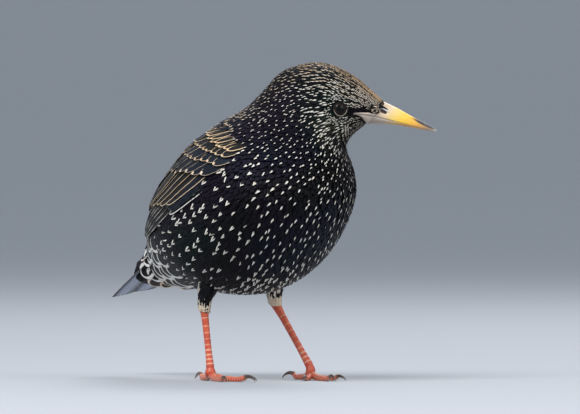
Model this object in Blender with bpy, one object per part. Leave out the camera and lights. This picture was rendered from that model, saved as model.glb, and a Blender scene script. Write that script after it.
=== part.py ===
"""A life-size starling in fresh winter plumage, standing with its head turned to its left.

The bird stands on the floor z = 0 and looks along +X, with +Y on its left. Its body is a loft of
flat sections down a line from the bill's root, over the crown and nape, to the root of the tail.
Wings, eyes and legs are placed on that loft by how far along it they are and how far round it.
Sizes are millimetres, turned to metres by MM. Every piece is a child of one empty on the neck's
upright axis, and is modelled from there.
"""

import math

import bmesh
import bpy
import numpy as np
from mathutils import Vector

MM = 0.001
GAP = 0.3
SAME_PLANE = 0.002

# Where the neck's upright axis stands, so that the part's origin is under the middle of its box.
NECK_AXIS = (32.34, -8.4)
HEAD_YAW = 55.0

# Sections of the feathered body: yaw in degrees, then the dorsal and the ventral midline points as
# (reach ahead of the neck axis, height), the half width, and how far up from the ventral point the
# widest place is, as a share.
SECTIONS = {
    "bill root": (55, (44.0, 110.9), (36.4, 102.2), 3.9, 0.50),
    "forehead": (55, (38.5, 115.9), (33.6, 100.2), 6.4, 0.48),
    "lores": (55, (32.6, 120.9), (31.0, 97.8), 9.0, 0.48),
    "eyes": (55, (25.6, 124.9), (29.6, 95.6), 11.2, 0.48),
    "crown": (55, (18.6, 127.0), (28.8, 94.0), 12.6, 0.50),
    "ear coverts": (54, (10.6, 126.2), (28.9, 92.0), 13.6, 0.52),
    "nape": (50, (2.2, 122.9), (29.8, 89.0), 15.0, 0.52),
    "hind neck": (42, (-5.0, 115.2), (31.2, 85.0), 18.0, 0.50),
    "shoulders": (28, (-11.6, 108.6), (32.4, 79.0), 24.2, 0.50),
    "mantle": (12, (-20.6, 104.2), (31.0, 69.0), 30.4, 0.50),
    "breast": (3, (-31.2, 98.6), (22.4, 55.4), 33.8, 0.50),
    "back": (0, (-41.6, 91.4), (7.2, 42.8), 34.4, 0.50),
    "belly": (0, (-54.0, 82.0), (-13.0, 34.6), 31.8, 0.50),
    "rump": (0, (-64.6, 72.4), (-36.0, 34.8), 24.4, 0.50),
    "vent": (0, (-71.6, 64.4), (-57.0, 36.4), 16.4, 0.52),
    "tail root": (0, (-75.6, 57.4), (-73.6, 38.2), 10.2, 0.55),
}
LAST = len(SECTIONS) - 1
SQUARENESS = 2.1

# Cuts between the nodes of flesh, as places along the loft, with rows and sides of each mesh.
HEAD_END = 6.0
NECK_END = 8.5
FLESH = {
    "head": (0.0, HEAD_END, 14, 32),
    "neck": (HEAD_END, NECK_END, 7, 32),
    "torso": (NECK_END, float(LAST), 18, 38),
}

# The folded wing's borders, in degrees round from the dorsal ridge, along the loft.
WING_ALONG = (8.95, 10.4, 11.7, 13.0, 14.4)
WING_TOP = (42.0, 33.0, 31.0, 35.0, 42.0)
WING_LOW = (78.0, 88.0, 86.0, 76.0, 62.0)
BED_DEPTH = 2.4
BED_MARGIN = 5.0
BED_LEAD = 0.1
BED_TRAIL = 0.25
BED_FADE = 0.35
BED_SOFT = 12.0
CORE_ABOVE_BED = 0.5
CORE_UNDER = 0.9

# Tiers of the folded wing, each feather from one end of its tier to the other: count, root and tip
# as (along, round) of the uppermost and of the lowest feather, width, lift at root and tip, roll.
WING_TIERS = {
    "primary": (8, (11.6, 70.0), (11.5, 84.0), (13.95, 54.0), (14.85, 51.0), 5.2, -0.3, 1.5, 13.0),
    "secondary": (5, (11.2, 54.0), (11.3, 72.0), (13.75, 46.0), (13.55, 59.0), 6.2, -0.5, 0.6, 12.0),
    "tertial": (3, (11.0, 38.0), (11.1, 54.0), (14.05, 38.0), (13.35, 52.0), 9.4, -0.4, 0.9, 8.0),
    "primary covert": (4, (10.7, 76.0), (10.6, 86.0), (12.2, 76.0), (12.5, 82.0), 4.2, -0.9, 0.3, 15.0),
    "greater covert": (8, (10.2, 36.0), (10.2, 82.0), (11.9, 36.0), (11.75, 78.0), 6.0, -1.1, 0.8, 10.0),
    "median covert": (7, (9.7, 38.0), (9.7, 81.0), (10.85, 37.0), (10.75, 83.0), 6.2, -1.2, 0.9, 10.0),
    "lesser covert": (6, (9.0, 44.0), (9.05, 77.0), (10.1, 40.0), (10.1, 81.0), 6.0, -1.1, 0.8, 10.0),
}
VANE_THICK = 0.55
VANE_SHAPE = ((0.0, 0.60), (0.45, 1.0), (0.86, 0.84), (1.0, 0.30))

# The tail: its feathers' plane falls to the rear from a point under the rump. The core carries on
# from the body's rear section in ellipses, each by its top and bottom as (reach, height) and its half
# width. Coverts lie on it: root and tip along the core, and how far the outermost is from the midline.
TAIL_START = (-76.0, 49.8)
TAIL_FALL = 31.0
TAIL_LENGTH = 31.0
TAIL_PAIRS = 6
TAIL_FEATHER_WIDTH = 8.6
TAIL_HALF_WIDTH = 12.0
TAIL_STACK = 0.42
TAIL_SHAPE = ((0.0, 0.90), (0.50, 1.0), (0.90, 0.93), (1.0, 0.55))
TAIL_CORE = (
    ((-79.4, 54.0), (-79.0, 37.2), 9.4),
    ((-83.0, 49.4), (-84.2, 36.8), 8.6),
    ((-86.6, 44.8), (-88.6, 37.6), 7.4),
)
TAIL_COVERTS = {"upper": (5, 0.4, 2.9, 60.0, 0.0), "lower": (5, 0.4, 2.95, 56.0, 180.0)}

# The eyes, on the eye's place along the loft, measured round from the dorsal ridge.
EYE_PLACE = (3.55, 96.5)
EYE_RADIUS = 3.9
EYE_SUNK = 3.0
LID_PROFILE = ((2.75, 3.36), (3.35, 3.5), (4.45, 2.35), (4.4, 1.3), (3.95, 1.65), (3.3, 2.78))

# The bill, in the head's upright plane: culmen, mouth line and lower edge, with its half widths.
CULMEN = ((44.3, 110.8), (48.6, 108.7), (53.2, 106.1), (57.6, 103.8), (61.4, 101.7), (64.2, 99.9))
MOUTH = ((40.4, 105.0), (45.0, 103.9), (49.8, 102.7), (54.9, 101.5), (60.0, 100.5), (64.0, 99.6))
GONYS = ((36.9, 102.3), (42.5, 102.3), (47.6, 102.0), (53.0, 101.2), (58.8, 100.1), (63.4, 99.25))
BILL_HALF_WIDTH = (3.5, 3.1, 2.6, 2.0, 1.35, 0.5)
GAPE = (31.6, 106.4)
MOUTH_SLOT = 0.4
MOUTH_RUN_ON = 3.0
FACE_WIDE = 15.0
NOSTRIL = (44.4, 107.4)
NOSTRIL_SIZE = (1.5, 0.5, 0.9)
NOSTRIL_LEAN = math.radians(-30.0)

# Legs: the hip inside the body, the ankle, the root of the toes, and the foot's yaw in degrees.
LEGS = {
    "left": ((-21.0, 14.0, 41.0), (-23.2, 16.0, 30.8), (-7.8, 22.3, 5.6), -14.0),
    "right": ((-25.0, -14.0, 41.0), (-26.2, -16.4, 30.6), (-20.4, -17.2, 5.2), 6.0),
}
THIGH_RADII = (5.4, 4.6, 3.4, 2.3)
THIGH_BELLY = np.linspace(9.0, 14.9, 20)
TARSUS_RADII = (2.0, 1.45, 1.3, 1.25, 1.3, 1.6)
TARSUS_SCUTES = 8
TARSUS_START = 0.06
SCUTE_RISE = 0.2

# Toes: turn from the foot's own yaw on a left foot, length without the claw, root radius, claw length.
TOES = {
    "outer": (22.0, 15.5, 1.25, 5.4),
    "middle": (0.0, 21.5, 1.35, 6.4),
    "inner": (-30.0, 14.5, 1.25, 5.6),
    "hind": (200.0, 10.5, 1.45, 7.6),
}
FLOOR = 90.0
BALL_HEIGHT = 2.6
BALL_RINGS = ((0.45, 2.0), (0.85, 2.2), (1.3, 1.2))
TOE_SCUTE = 3.2
TOE_TAPER = 0.66
TOE_ARCH = 0.5
TOE_SINK = 0.14
FLAT_SIDE = math.cos(math.pi / 8)
TOE_SCUTE_RISE = 0.14
CLAW_RISE = 20.0
CLAW_FALL = 50.0
CLAW_CLEAR = 0.35
CLAW_THICK = 0.62
CLAW_TIP = 0.07

SOOT = (0.028, 0.030, 0.038)
HORN_BLACK = (0.045, 0.035, 0.030)
WING_BROWN = (0.105, 0.080, 0.060)
TAIL_GREY = (0.170, 0.175, 0.190)
BILL_YELLOW = (0.780, 0.520, 0.110)
BILL_PALE = (0.560, 0.500, 0.420)
LEG_RED = (0.600, 0.130, 0.055)
LEG_FEATHER = (0.230, 0.205, 0.170)
EYE_BROWN = (0.020, 0.012, 0.009)


def clear_scene():
    for obj in list(bpy.data.objects):
        bpy.data.objects.remove(obj)


def finish(name, colour, roughness, metallic=0.0):
    material = bpy.data.materials.new(name)
    material.use_nodes = True
    shader = material.node_tree.nodes["Principled BSDF"]
    shader.inputs["Base Color"].default_value = (*colour, 1.0)
    shader.inputs["Roughness"].default_value = roughness
    shader.inputs["Metallic"].default_value = metallic
    return material


# The loft

def smooth_values(values, places):
    """Cubic Hermite values of a list with one entry at each whole place."""
    values = np.asarray(values, float)
    places = np.asarray(places, float)
    slopes = np.gradient(values, axis=0)
    cell = np.clip(np.floor(places).astype(int), 0, len(values) - 2)
    t = (places - cell)[..., None]
    start = (2 * t**3 - 3 * t**2 + 1) * values[cell] + (t**3 - 2 * t**2 + t) * slopes[cell]
    end = (3 * t**2 - 2 * t**3) * values[cell + 1] + (t**3 - t**2) * slopes[cell + 1]
    return start + end


def window(value, low, high, soft):
    """1 from low to high, falling smoothly to 0 over soft on each side."""
    share = np.clip(np.minimum((value - low) / soft, (high - value) / soft) + 1.0, 0.0, 1.0)
    return share * share * (3.0 - 2.0 * share)


def section(along):
    """Dorsal and ventral midline points, left direction, half width and belt of the loft."""
    rows = [(yaw, *top, *low, width, belt) for yaw, top, low, width, belt in SECTIONS.values()]
    yaw, top_r, top_z, low_r, low_z, width, belt = np.moveaxis(smooth_values(rows, along), -1, 0)
    turn = np.radians(yaw)
    ahead = np.stack([np.cos(turn), np.sin(turn), 0 * turn], -1)
    left = np.stack([-np.sin(turn), np.cos(turn), 0 * turn], -1)
    up = np.array([0.0, 0.0, 1.0])
    top = ahead * top_r[..., None] + up * top_z[..., None]
    low = ahead * low_r[..., None] + up * low_z[..., None]
    return top, low, left, width, belt


def section_normal(along):
    """The direction square to a section, toward the tail."""
    top, low, left, width, belt = section(np.asarray(float(along)))
    normal = np.cross(top - low, left)
    return normal / np.linalg.norm(normal)


def outline_point(along, around):
    """A point of the outer form. around is in degrees, from the dorsal ridge down the left side."""
    top, low, left, width, belt = section(along)
    across, upward = np.sin(np.radians(around)), np.cos(np.radians(around))
    across = np.sign(across) * np.abs(across) ** (2 / SQUARENESS)
    upward = np.sign(upward) * np.abs(upward) ** (2 / SQUARENESS)
    centre = low + (top - low) * belt[..., None]
    lift = np.where((upward > 0)[..., None], top - centre, centre - low)
    return centre + left * (width * across)[..., None] + lift * upward[..., None]


def surface_normal(surface, length, along, around):
    """The outward direction of a surface of that length along, given by its point function."""
    step = 0.01
    inner = np.clip(along, step, length - step)
    down = surface(inner + step, around) - surface(inner - step, around)
    turn = surface(inner, around + 0.5) - surface(inner, around - 0.5)
    normal = np.cross(turn, down)
    return normal / np.linalg.norm(normal, axis=-1, keepdims=True)


def on_outline(along, around, lift=0.0):
    """A point of the outer form, moved out along its normal."""
    along, around, lift = np.broadcast_arrays(
        np.asarray(along, float), np.asarray(around, float), np.asarray(lift, float)
    )
    normal = surface_normal(outline_point, LAST, along, around)
    return outline_point(along, around) + normal * lift[..., None]


def bed(along, around):
    """How deep the wing's bed lies under the outline there."""
    from_ridge = np.abs((np.asarray(around) + 180.0) % 360.0 - 180.0)
    top = np.interp(along, WING_ALONG, WING_TOP) - BED_MARGIN
    low = np.interp(along, WING_ALONG, WING_LOW) + BED_MARGIN
    there = window(along, WING_ALONG[0] - BED_LEAD, WING_ALONG[-1] + BED_TRAIL, BED_FADE)
    return BED_DEPTH * there * window(from_ridge, top, low, BED_SOFT)


def in_head_plane(reach, height, across=0.0):
    """A point of the head by its reach ahead of the neck axis, its height and its way to the left."""
    turn = math.radians(HEAD_YAW)
    x = reach * math.cos(turn) - across * math.sin(turn)
    y = reach * math.sin(turn) + across * math.cos(turn)
    return np.array([x, y, height])


# Meshes

def mesh_object(name, points, faces, material=None):
    """A closed mesh from points in millimetres, its faces turned outwards."""
    mesh = bpy.data.meshes.new(name)
    mesh.from_pydata([tuple(float(c) * MM for c in point) for point in points], [], faces)
    bm = bmesh.new()
    bm.from_mesh(mesh)
    bmesh.ops.recalc_face_normals(bm, faces=bm.faces)
    bm.to_mesh(mesh)
    bm.free()
    obj = bpy.data.objects.new(name, mesh)
    bpy.context.scene.collection.objects.link(obj)
    if material:
        obj.data.materials.append(material)
    return obj


def tube(rings):
    """Points and faces of a closed tube through rings of equal count, with flat ends."""
    count = len(rings[0])
    points = [point for ring in rings for point in ring]
    faces = []
    for row in range(len(rings) - 1):
        for k in range(count):
            a, b = row * count + k, row * count + (k + 1) % count
            faces.append((a, b, b + count))
            faces.append((a, b + count, a + count))
    last = (len(rings) - 1) * count
    faces.append(tuple(range(count - 1, -1, -1)))
    faces.append(tuple(range(last, last + count)))
    return points, faces


def circle_ring(centre, normal, radius, sides, rise=None):
    """A ring round a centre. rise adds to the radius by the share a direction faces upwards."""
    normal = Vector(normal).normalized()
    side = normal.cross(Vector((0, 0, 1)))
    side = side.normalized() if side.length > 0.05 else Vector((0, 1, 0))
    up = side.cross(normal).normalized()
    ring = []
    for k in range(sides):
        turn = 2 * math.pi * (k + 0.5) / sides
        extra = rise(math.cos(turn)) if rise else 0.0
        ring.append(Vector(centre) + (side * math.sin(turn) + up * math.cos(turn)) * (radius + extra))
    return ring


def largest_closed_surface(obj):
    """Keeps a node's outer surface and drops scraps and sealed hollows."""
    bm = bmesh.new()
    bm.from_mesh(obj.data)
    bmesh.ops.triangulate(bm, faces=bm.faces)
    waiting, shells = set(bm.faces), []
    while waiting:
        shell, search = [], [waiting.pop()]
        while search:
            face = search.pop()
            shell.append(face)
            found = {other for edge in face.edges for other in edge.link_faces} & waiting
            waiting -= found
            search.extend(found)
        shells.append(shell)
    shells.sort(key=lambda shell: sum(face.calc_area() for face in shell))
    for shell in shells[:-1]:
        bmesh.ops.delete(bm, geom=shell, context="FACES")
    bm.to_mesh(obj.data)
    bm.free()


def apply_modifiers(obj):
    bpy.context.view_layer.update()
    graph = bpy.context.evaluated_depsgraph_get()
    mesh = bpy.data.meshes.new_from_object(obj.evaluated_get(graph))
    obj.modifiers.clear()
    obj.data = mesh


def fuse(name, pieces, material):
    """Joins a node's pieces by one union on their collection."""
    base, others = pieces[0], pieces[1:]
    group = bpy.data.collections.new(name + " pieces")
    for obj in others:
        group.objects.link(obj)
    modifier = base.modifiers.new("fuse", "BOOLEAN")
    modifier.operation = "UNION"
    modifier.operand_type = "COLLECTION"
    modifier.collection = group
    modifier.solver = "MANIFOLD"
    apply_modifiers(base)
    for obj in others:
        bpy.data.objects.remove(obj)
    bpy.data.collections.remove(group)
    largest_closed_surface(base)
    base.name = name
    base.data.materials.clear()
    base.data.materials.append(material)
    return base


def merge_flats(obj):
    """Makes one face of the scraps that a union leaves in a plane, then splits it into triangles."""
    bm = bmesh.new()
    bm.from_mesh(obj.data)
    bmesh.ops.dissolve_limit(bm, angle_limit=SAME_PLANE, verts=bm.verts, edges=bm.edges)
    bmesh.ops.triangulate(bm, faces=bm.faces)
    bm.to_mesh(obj.data)
    bm.free()
    return obj


def carve(obj, cutters):
    """Cuts helpers out of a solid and removes them."""
    for cutter in cutters:
        modifier = obj.modifiers.new("carve", "BOOLEAN")
        modifier.operation = "DIFFERENCE"
        modifier.object = cutter
        modifier.solver = "MANIFOLD"
    apply_modifiers(obj)
    for cutter in cutters:
        bpy.data.objects.remove(cutter)
    largest_closed_surface(obj)
    return obj


def ball(name, centre, radius, stretch=(1.0, 1.0, 1.0), axes=None, detail=14):
    """A closed ellipsoid, its three half sizes the radius times stretch, along the given axes."""
    bm = bmesh.new()
    bmesh.ops.create_uvsphere(bm, u_segments=detail, v_segments=detail // 2, radius=radius)
    points = [np.array(v.co) * np.array(stretch) for v in bm.verts]
    faces = [tuple(v.index for v in face.verts) for face in bm.faces]
    bm.free()
    if axes is not None:
        points = [np.asarray(axes).T @ point for point in points]
    return mesh_object(name, [np.asarray(centre) + point for point in points], faces)


# Flesh

def loft_ring(along, count, extra=0.0, sunk=True):
    turns = np.arange(count) * 360.0 / count
    lift = extra - bed(along, turns) if sunk else extra
    return on_outline(np.full(count, float(along)), turns, lift)


def make_flesh(name, material):
    """One length of the loft, its front end cut back by the gap that it keeps to its neighbour."""
    start, end, rows, count = FLESH[name]
    rings = [loft_ring(along, count) for along in np.linspace(start, end, rows)]
    rings[0] = loft_ring(start, count, sunk=False)
    rings[-1] = loft_ring(end, count, sunk=False)
    if start > 0:
        rings[0] = rings[0] + section_normal(start) * GAP
    return mesh_object(name, *tube(rings), material)


def eye_axes(side):
    """Centre of an eyeball and its axes: out of the head, forward and up."""
    along, around = EYE_PLACE
    surface = on_outline(along, side * around)
    out = surface_normal(outline_point, LAST, np.asarray(along), np.asarray(side * around))
    up = np.array([0.0, 0.0, 1.0])
    up = up - out * np.dot(up, out)
    up = up / np.linalg.norm(up)
    return surface - out * EYE_SUNK, (np.cross(up, out), up, out)


def make_eye(side, name, material):
    centre, axes = eye_axes(side)
    obj = ball(name, centre, EYE_RADIUS, axes=axes)
    obj.data.materials.append(material)
    return obj


def make_lid(side):
    """A ring round the eye, its section hugging the eyeball."""
    centre, (forward, up, out) = eye_axes(side)
    count = 14
    points, faces = [], []
    for k in range(count):
        turn = 2 * math.pi * k / count
        away = forward * math.cos(turn) + up * math.sin(turn)
        points += [centre + away * r + out * h for r, h in LID_PROFILE]
    steps = len(LID_PROFILE)
    for k in range(count):
        for j in range(steps):
            a, b = k * steps + j, k * steps + (j + 1) % steps
            c, d = (a + steps) % len(points), (b + steps) % len(points)
            faces.append((a, b, d, c))
    return mesh_object("lid", points, faces)


def mouth_cutter():
    """A thin slab along the mouth line, from the gape out through the front of the face."""
    back, front = np.array(GAPE), np.array(MOUTH[0])
    ahead = (front - back) / np.linalg.norm(front - back)
    front = front + ahead * MOUTH_RUN_ON
    up = np.array([-ahead[1], ahead[0]]) * MOUTH_SLOT / 2
    corners = [back - up, front - up, front + up, back + up]
    rings = [[in_head_plane(*corner, across) for corner in corners] for across in (-FACE_WIDE, FACE_WIDE)]
    return mesh_object("mouth", *tube(rings))


def make_head(material):
    head = make_flesh("head", material)
    sockets = [ball("socket", eye_axes(side)[0], EYE_RADIUS + GAP) for side in (1, -1)]
    carve(head, sockets + [mouth_cutter()])
    return fuse("head", [head, make_lid(1), make_lid(-1)], material)


# Bill

def make_mandible(name, edge, ridge_up, material):
    """One half of the bill, from the mouth line to the culmen or to the lower edge."""
    rings = []
    for (edge_r, edge_z), (mouth_r, mouth_z), half in zip(edge, MOUTH, BILL_HALF_WIDTH):
        ridge = np.array([edge_r, edge_z])
        mouth = np.array([mouth_r, mouth_z])
        toward = (ridge - mouth) / np.linalg.norm(ridge - mouth)
        mouth = mouth + toward * GAP / 2
        middle = mouth + (ridge - mouth) * 0.55
        high = mouth + (ridge - mouth) * 0.9
        ring = [(mouth, half), (middle, half * 0.86), (high, half * 0.46), (ridge, 0.0)]
        ring += [(high, -half * 0.46), (middle, -half * 0.86), (mouth, -half)]
        rings.append([in_head_plane(*point, across) for point, across in ring])
    obj = mesh_object(name, *tube(rings), material)
    if ridge_up:
        lean = math.cos(NOSTRIL_LEAN), math.sin(NOSTRIL_LEAN)
        axes = [in_head_plane(*lean), in_head_plane(-lean[1], lean[0]), in_head_plane(0.0, 0.0, 1.0)]
        half = BILL_HALF_WIDTH[1]
        holes = [
            ball("nostril", in_head_plane(*NOSTRIL, side * half), 1.0, NOSTRIL_SIZE, axes, 12)
            for side in (1, -1)
        ]
        carve(obj, holes)
    return obj


# Feathers

def vane(name, centres, normals, width, roll=0.0, thick=VANE_THICK, shape=VANE_SHAPE):
    """A feather's blade along its midline, both faces split into triangles alike."""
    centres, normals = np.asarray(centres), np.asarray(normals)
    ahead = np.gradient(centres, axis=0)
    across = np.cross(ahead, normals)
    across = across / np.linalg.norm(across, axis=1, keepdims=True)
    face = np.cross(across, ahead)
    face = face / np.linalg.norm(face, axis=1, keepdims=True)
    turn = math.radians(roll)
    tilted = across * math.cos(turn) + face * math.sin(turn)
    raised = face * math.cos(turn) - across * math.sin(turn)
    rings = []
    for centre, side, up, (place, share) in zip(centres, tilted, raised, shape):
        half = side * width * share / 2
        rise = up * thick / 2 * (0.6 if place == 1.0 else 1.0)
        rings.append([centre - half - rise, centre + half - rise, centre + half + rise, centre - half + rise])
    points = [point for ring in rings for point in ring]
    faces = [(3, 2, 1, 0)]
    for row in range(len(rings) - 1):
        a = row * 4
        faces += [(a, a + 1, a + 5), (a, a + 5, a + 4)]
        faces += [(a + 3, a + 6, a + 2), (a + 3, a + 7, a + 6)]
        faces += [(a + 1, a + 2, a + 6), (a + 1, a + 6, a + 5)]
        faces += [(a, a + 7, a + 3), (a, a + 4, a + 7)]
    last = (len(rings) - 1) * 4
    faces.append((last, last + 1, last + 2, last + 3))
    return mesh_object(name, points, faces)


def laid_vane(name, surface, length, root, tip, lifts, width, side, roll):
    """A feather laid on a surface from its root to its tip, each as (along, around)."""
    places = np.array([place for place, share in VANE_SHAPE])
    along = root[0] + (tip[0] - root[0]) * places
    around = side * (root[1] + (tip[1] - root[1]) * places)
    normals = surface_normal(surface, length, along, around)
    centres = surface(along, around) + normals * (lifts[0] + (lifts[1] - lifts[0]) * places)[:, None]
    return vane(name, centres, normals, width, side * roll)


def wing_core(side):
    """The thin plate under a folded wing's feathers, lying in the body's bed."""
    rows, steps = 10, 6
    points, faces = [], []
    for lift in (-BED_DEPTH + CORE_ABOVE_BED, -CORE_UNDER):
        for along in np.linspace(WING_ALONG[0], WING_ALONG[-1], rows):
            top = np.interp(along, WING_ALONG, WING_TOP)
            low = np.interp(along, WING_ALONG, WING_LOW)
            points += list(on_outline(along, side * np.linspace(top, low, steps), lift))
    layer = rows * steps
    for row in range(rows - 1):
        for k in range(steps - 1):
            a = row * steps + k
            b, c, d = a + 1, a + steps + 1, a + steps
            faces += [(a, b, c), (a, c, d)]
            faces += [(a + layer, c + layer, b + layer), (a + layer, d + layer, c + layer)]
    border = list(range(steps)) + [row * steps + steps - 1 for row in range(1, rows)]
    border += [(rows - 1) * steps + k for k in range(steps - 2, -1, -1)]
    border += [row * steps for row in range(rows - 2, 0, -1)]
    for a, b in zip(border, border[1:] + border[:1]):
        faces.append((a, b, b + layer, a + layer))
    return mesh_object("core", points, faces)


def make_wing(side, name, material, rng):
    """A folded wing: tiers of feathers over the core, each upper feather lying on the next lower."""
    pieces = [wing_core(side)]
    for tier, (count, root_a, root_b, tip_a, tip_b, width, root_lift, tip_lift, roll) in WING_TIERS.items():
        for k in range(count):
            share = k / (count - 1)
            root = np.array(root_a) * (1 - share) + np.array(root_b) * share
            tip = np.array(tip_a) * (1 - share) + np.array(tip_b) * share
            tip = tip + rng.uniform(-1.0, 1.0, 2) * (0.05, 0.5)
            wide = width * rng.uniform(0.95, 1.05)
            lifts = (root_lift, tip_lift)
            pieces.append(laid_vane(tier, outline_point, LAST, root, tip, lifts, wide, side, roll))
    return fuse(name, pieces, material)


def tail_core_point(along, around):
    """A point of the tail's core, from the body's rear section (along 0) to its last ellipse."""
    along, around = np.broadcast_arrays(np.asarray(along, float), np.asarray(around, float))
    upward, across = np.cos(np.radians(around))[..., None], np.sin(np.radians(around))[..., None]
    rows = [outline_point(np.full(around.shape, float(LAST)), around) + section_normal(LAST) * GAP]
    for (top_r, top_z), (low_r, low_z), half in TAIL_CORE:
        top, low = np.array([top_r, 0.0, top_z]), np.array([low_r, 0.0, low_z])
        rows.append((top + low) / 2 + (top - low) / 2 * upward + np.array([0.0, half, 0.0]) * across)
    rows = np.stack(rows)
    cell = np.clip(np.floor(along).astype(int), 0, len(rows) - 2)
    share = (along - cell)[..., None]
    start = np.take_along_axis(rows, cell[None, ..., None], 0)[0]
    end = np.take_along_axis(rows, cell[None, ..., None] + 1, 0)[0]
    return start * (1 - share) + end * share


def make_tail(material, rng):
    """Twelve feathers nearly closed over one another, with their coverts above and below."""
    length, sides = len(TAIL_CORE), 20
    turns = np.arange(sides) * 360.0 / sides
    pieces = [mesh_object("core", *tube([tail_core_point(row, turns) for row in range(length + 1)]))]
    fall = math.radians(TAIL_FALL)
    back = np.array([-math.cos(fall), 0.0, -math.sin(fall)])
    up = np.array([-math.sin(fall), 0.0, math.cos(fall)])
    left = np.array([0.0, 1.0, 0.0])
    start = np.array([TAIL_START[0], 0.0, TAIL_START[1]])
    inner = TAIL_FEATHER_WIDTH / 3
    outer = TAIL_HALF_WIDTH - TAIL_FEATHER_WIDTH / 2
    places = [place for place, share in TAIL_SHAPE]
    for pair in range(TAIL_PAIRS):
        share = pair / (TAIL_PAIRS - 1)
        spread = inner + (outer - inner) * share
        for side in (1, -1):
            reach = TAIL_LENGTH * (0.97 + 0.03 * share) * rng.uniform(0.985, 1.0)
            root = start + back * 3.0 + left * side * spread * 0.9 - up * TAIL_STACK * pair
            tip = start + back * reach + left * side * spread - up * TAIL_STACK * pair
            centres = [root + (tip - root) * place for place in places]
            normals = [up] * len(places)
            pieces.append(vane("rectrix", centres, normals, TAIL_FEATHER_WIDTH, shape=TAIL_SHAPE))
    for tier, (count, root, tip, widest, middle) in TAIL_COVERTS.items():
        for k in range(count):
            across = (2 * k / (count - 1) - 1) * widest
            end = tip - 0.3 * abs(across) / widest - rng.uniform(0.0, 0.1)
            line = (root, middle + across), (end, middle + across * 0.9)
            pieces.append(laid_vane(tier, tail_core_point, length, *line, (-0.9, 0.6), 6.0, 1, 0.0))
    return merge_flats(fuse("tail", pieces, material))


# Legs

def make_thigh(name, hip, ankle, toes, material):
    """The feathered part of a leg, cut clear of the belly that it comes out of."""
    hip, ankle, toes = Vector(hip), Vector(ankle), Vector(toes)
    along = (ankle - hip).normalized()
    joint = (along + (toes - ankle).normalized()).normalized()
    end = ankle - joint * GAP
    rings = []
    for k, radius in enumerate(THIGH_RADII):
        t = k / (len(THIGH_RADII) - 1)
        normal = along.lerp(joint, t)
        rings.append(circle_ring(hip.lerp(end, t), normal, radius, 14))
    thigh = mesh_object(name, *tube(rings), material)
    around_it = [loft_ring(along, 40, GAP, sunk=False) for along in THIGH_BELLY]
    return carve(thigh, [mesh_object("belly", *tube(around_it))])


def make_shank(name, hip, ankle, toes, material):
    """The bare tarsus: a heel, a slim shaft with overlapping plates down its front, and a wider foot end."""
    hip, ankle, toes = Vector(hip), Vector(ankle), Vector(toes)
    joint = ((ankle - hip).normalized() + (toes - ankle).normalized()).normalized()
    axis = (toes - ankle).normalized()
    rings = [circle_ring(ankle, joint, TARSUS_RADII[0] * 0.9, 8)]
    radii = np.array(TARSUS_RADII)[:, None]
    for k in range(TARSUS_SCUTES + 1):
        for edge, rise in ((0.08, SCUTE_RISE), (0.92, 0.0)):
            t = TARSUS_START + (1.0 - TARSUS_START) * (k + edge) / (TARSUS_SCUTES + 1)
            radius = float(smooth_values(radii, t * (len(radii) - 1))[0])
            front = (lambda facing, rise=rise: rise * max(0.0, facing)) if k else None
            rings.append(circle_ring(ankle.lerp(toes, t), axis, radius, 8, front))
    rings.append(circle_ring(toes, axis, TARSUS_RADII[-1] * 0.95, 8))
    return mesh_object(name, *tube(rings), material)


def toe_end_height(claw):
    """How high a toe ends, so that its claw comes down just clear of the floor."""
    rise, fall = math.radians(CLAW_RISE), math.radians(CLAW_FALL)
    return CLAW_CLEAR + claw * (math.cos(rise) - math.cos(fall)) / (rise + fall)


def make_foot(name, ankle, toes, yaw, side, material):
    """Four toes from one ball under the tarsus, with plates across their tops and flats underneath."""
    ankle, toes = Vector(ankle), Vector(toes)
    axis = (toes - ankle).normalized()
    ball_at = Vector((toes.x, toes.y, BALL_HEIGHT)) + Vector((axis.x, axis.y, 0.0))
    rings = [circle_ring(toes + axis * GAP, axis, TARSUS_RADII[-1] * 0.95, 10)]
    for t, radius in BALL_RINGS:
        rings.append(circle_ring(toes.lerp(ball_at, t), axis, radius, 10))
    pieces = [mesh_object("ball", *tube(rings))]
    for toe, (turn, length, radius, claw) in TOES.items():
        heading = math.radians(yaw + side * turn)
        ahead = Vector((math.cos(heading), math.sin(heading), 0.0))
        plates = max(3, round(length / TOE_SCUTE))
        low = radius * FLAT_SIDE - TOE_SINK
        end = toe_end_height(claw) - radius * TOE_TAPER * FLAT_SIDE
        rise_over_floor = np.array([(ball_at.z - low,), (TOE_ARCH,), (0.0,), (0.0,), (0.0,), (end,)])
        rings = []
        for k in range(plates):
            for edge, rise in ((0.06, TOE_SCUTE_RISE), (0.9, 0.0)):
                t = (k + edge) / (plates - 0.1)
                thick = radius * (1.0 + (TOE_TAPER - 1.0) * t)
                over = float(smooth_values(rise_over_floor, t * (len(rise_over_floor) - 1))[0])
                centre = ball_at + ahead * (length * t)
                centre.z = thick * FLAT_SIDE - TOE_SINK + over
                top = lambda facing, rise=rise: rise * max(0.0, facing)
                rings.append(circle_ring(centre, ahead, thick, 8, top))
        pieces.append(mesh_object(toe, *tube(rings)))
    corners = ((-FLOOR, -FLOOR), (FLOOR, -FLOOR), (FLOOR, FLOOR), (-FLOOR, FLOOR))
    floor = mesh_object("floor", *tube([[Vector((x, y, z)) for x, y in corners] for z in (-9.0, 0.0)]))
    return carve(fuse(name, pieces, material), [floor])


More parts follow.
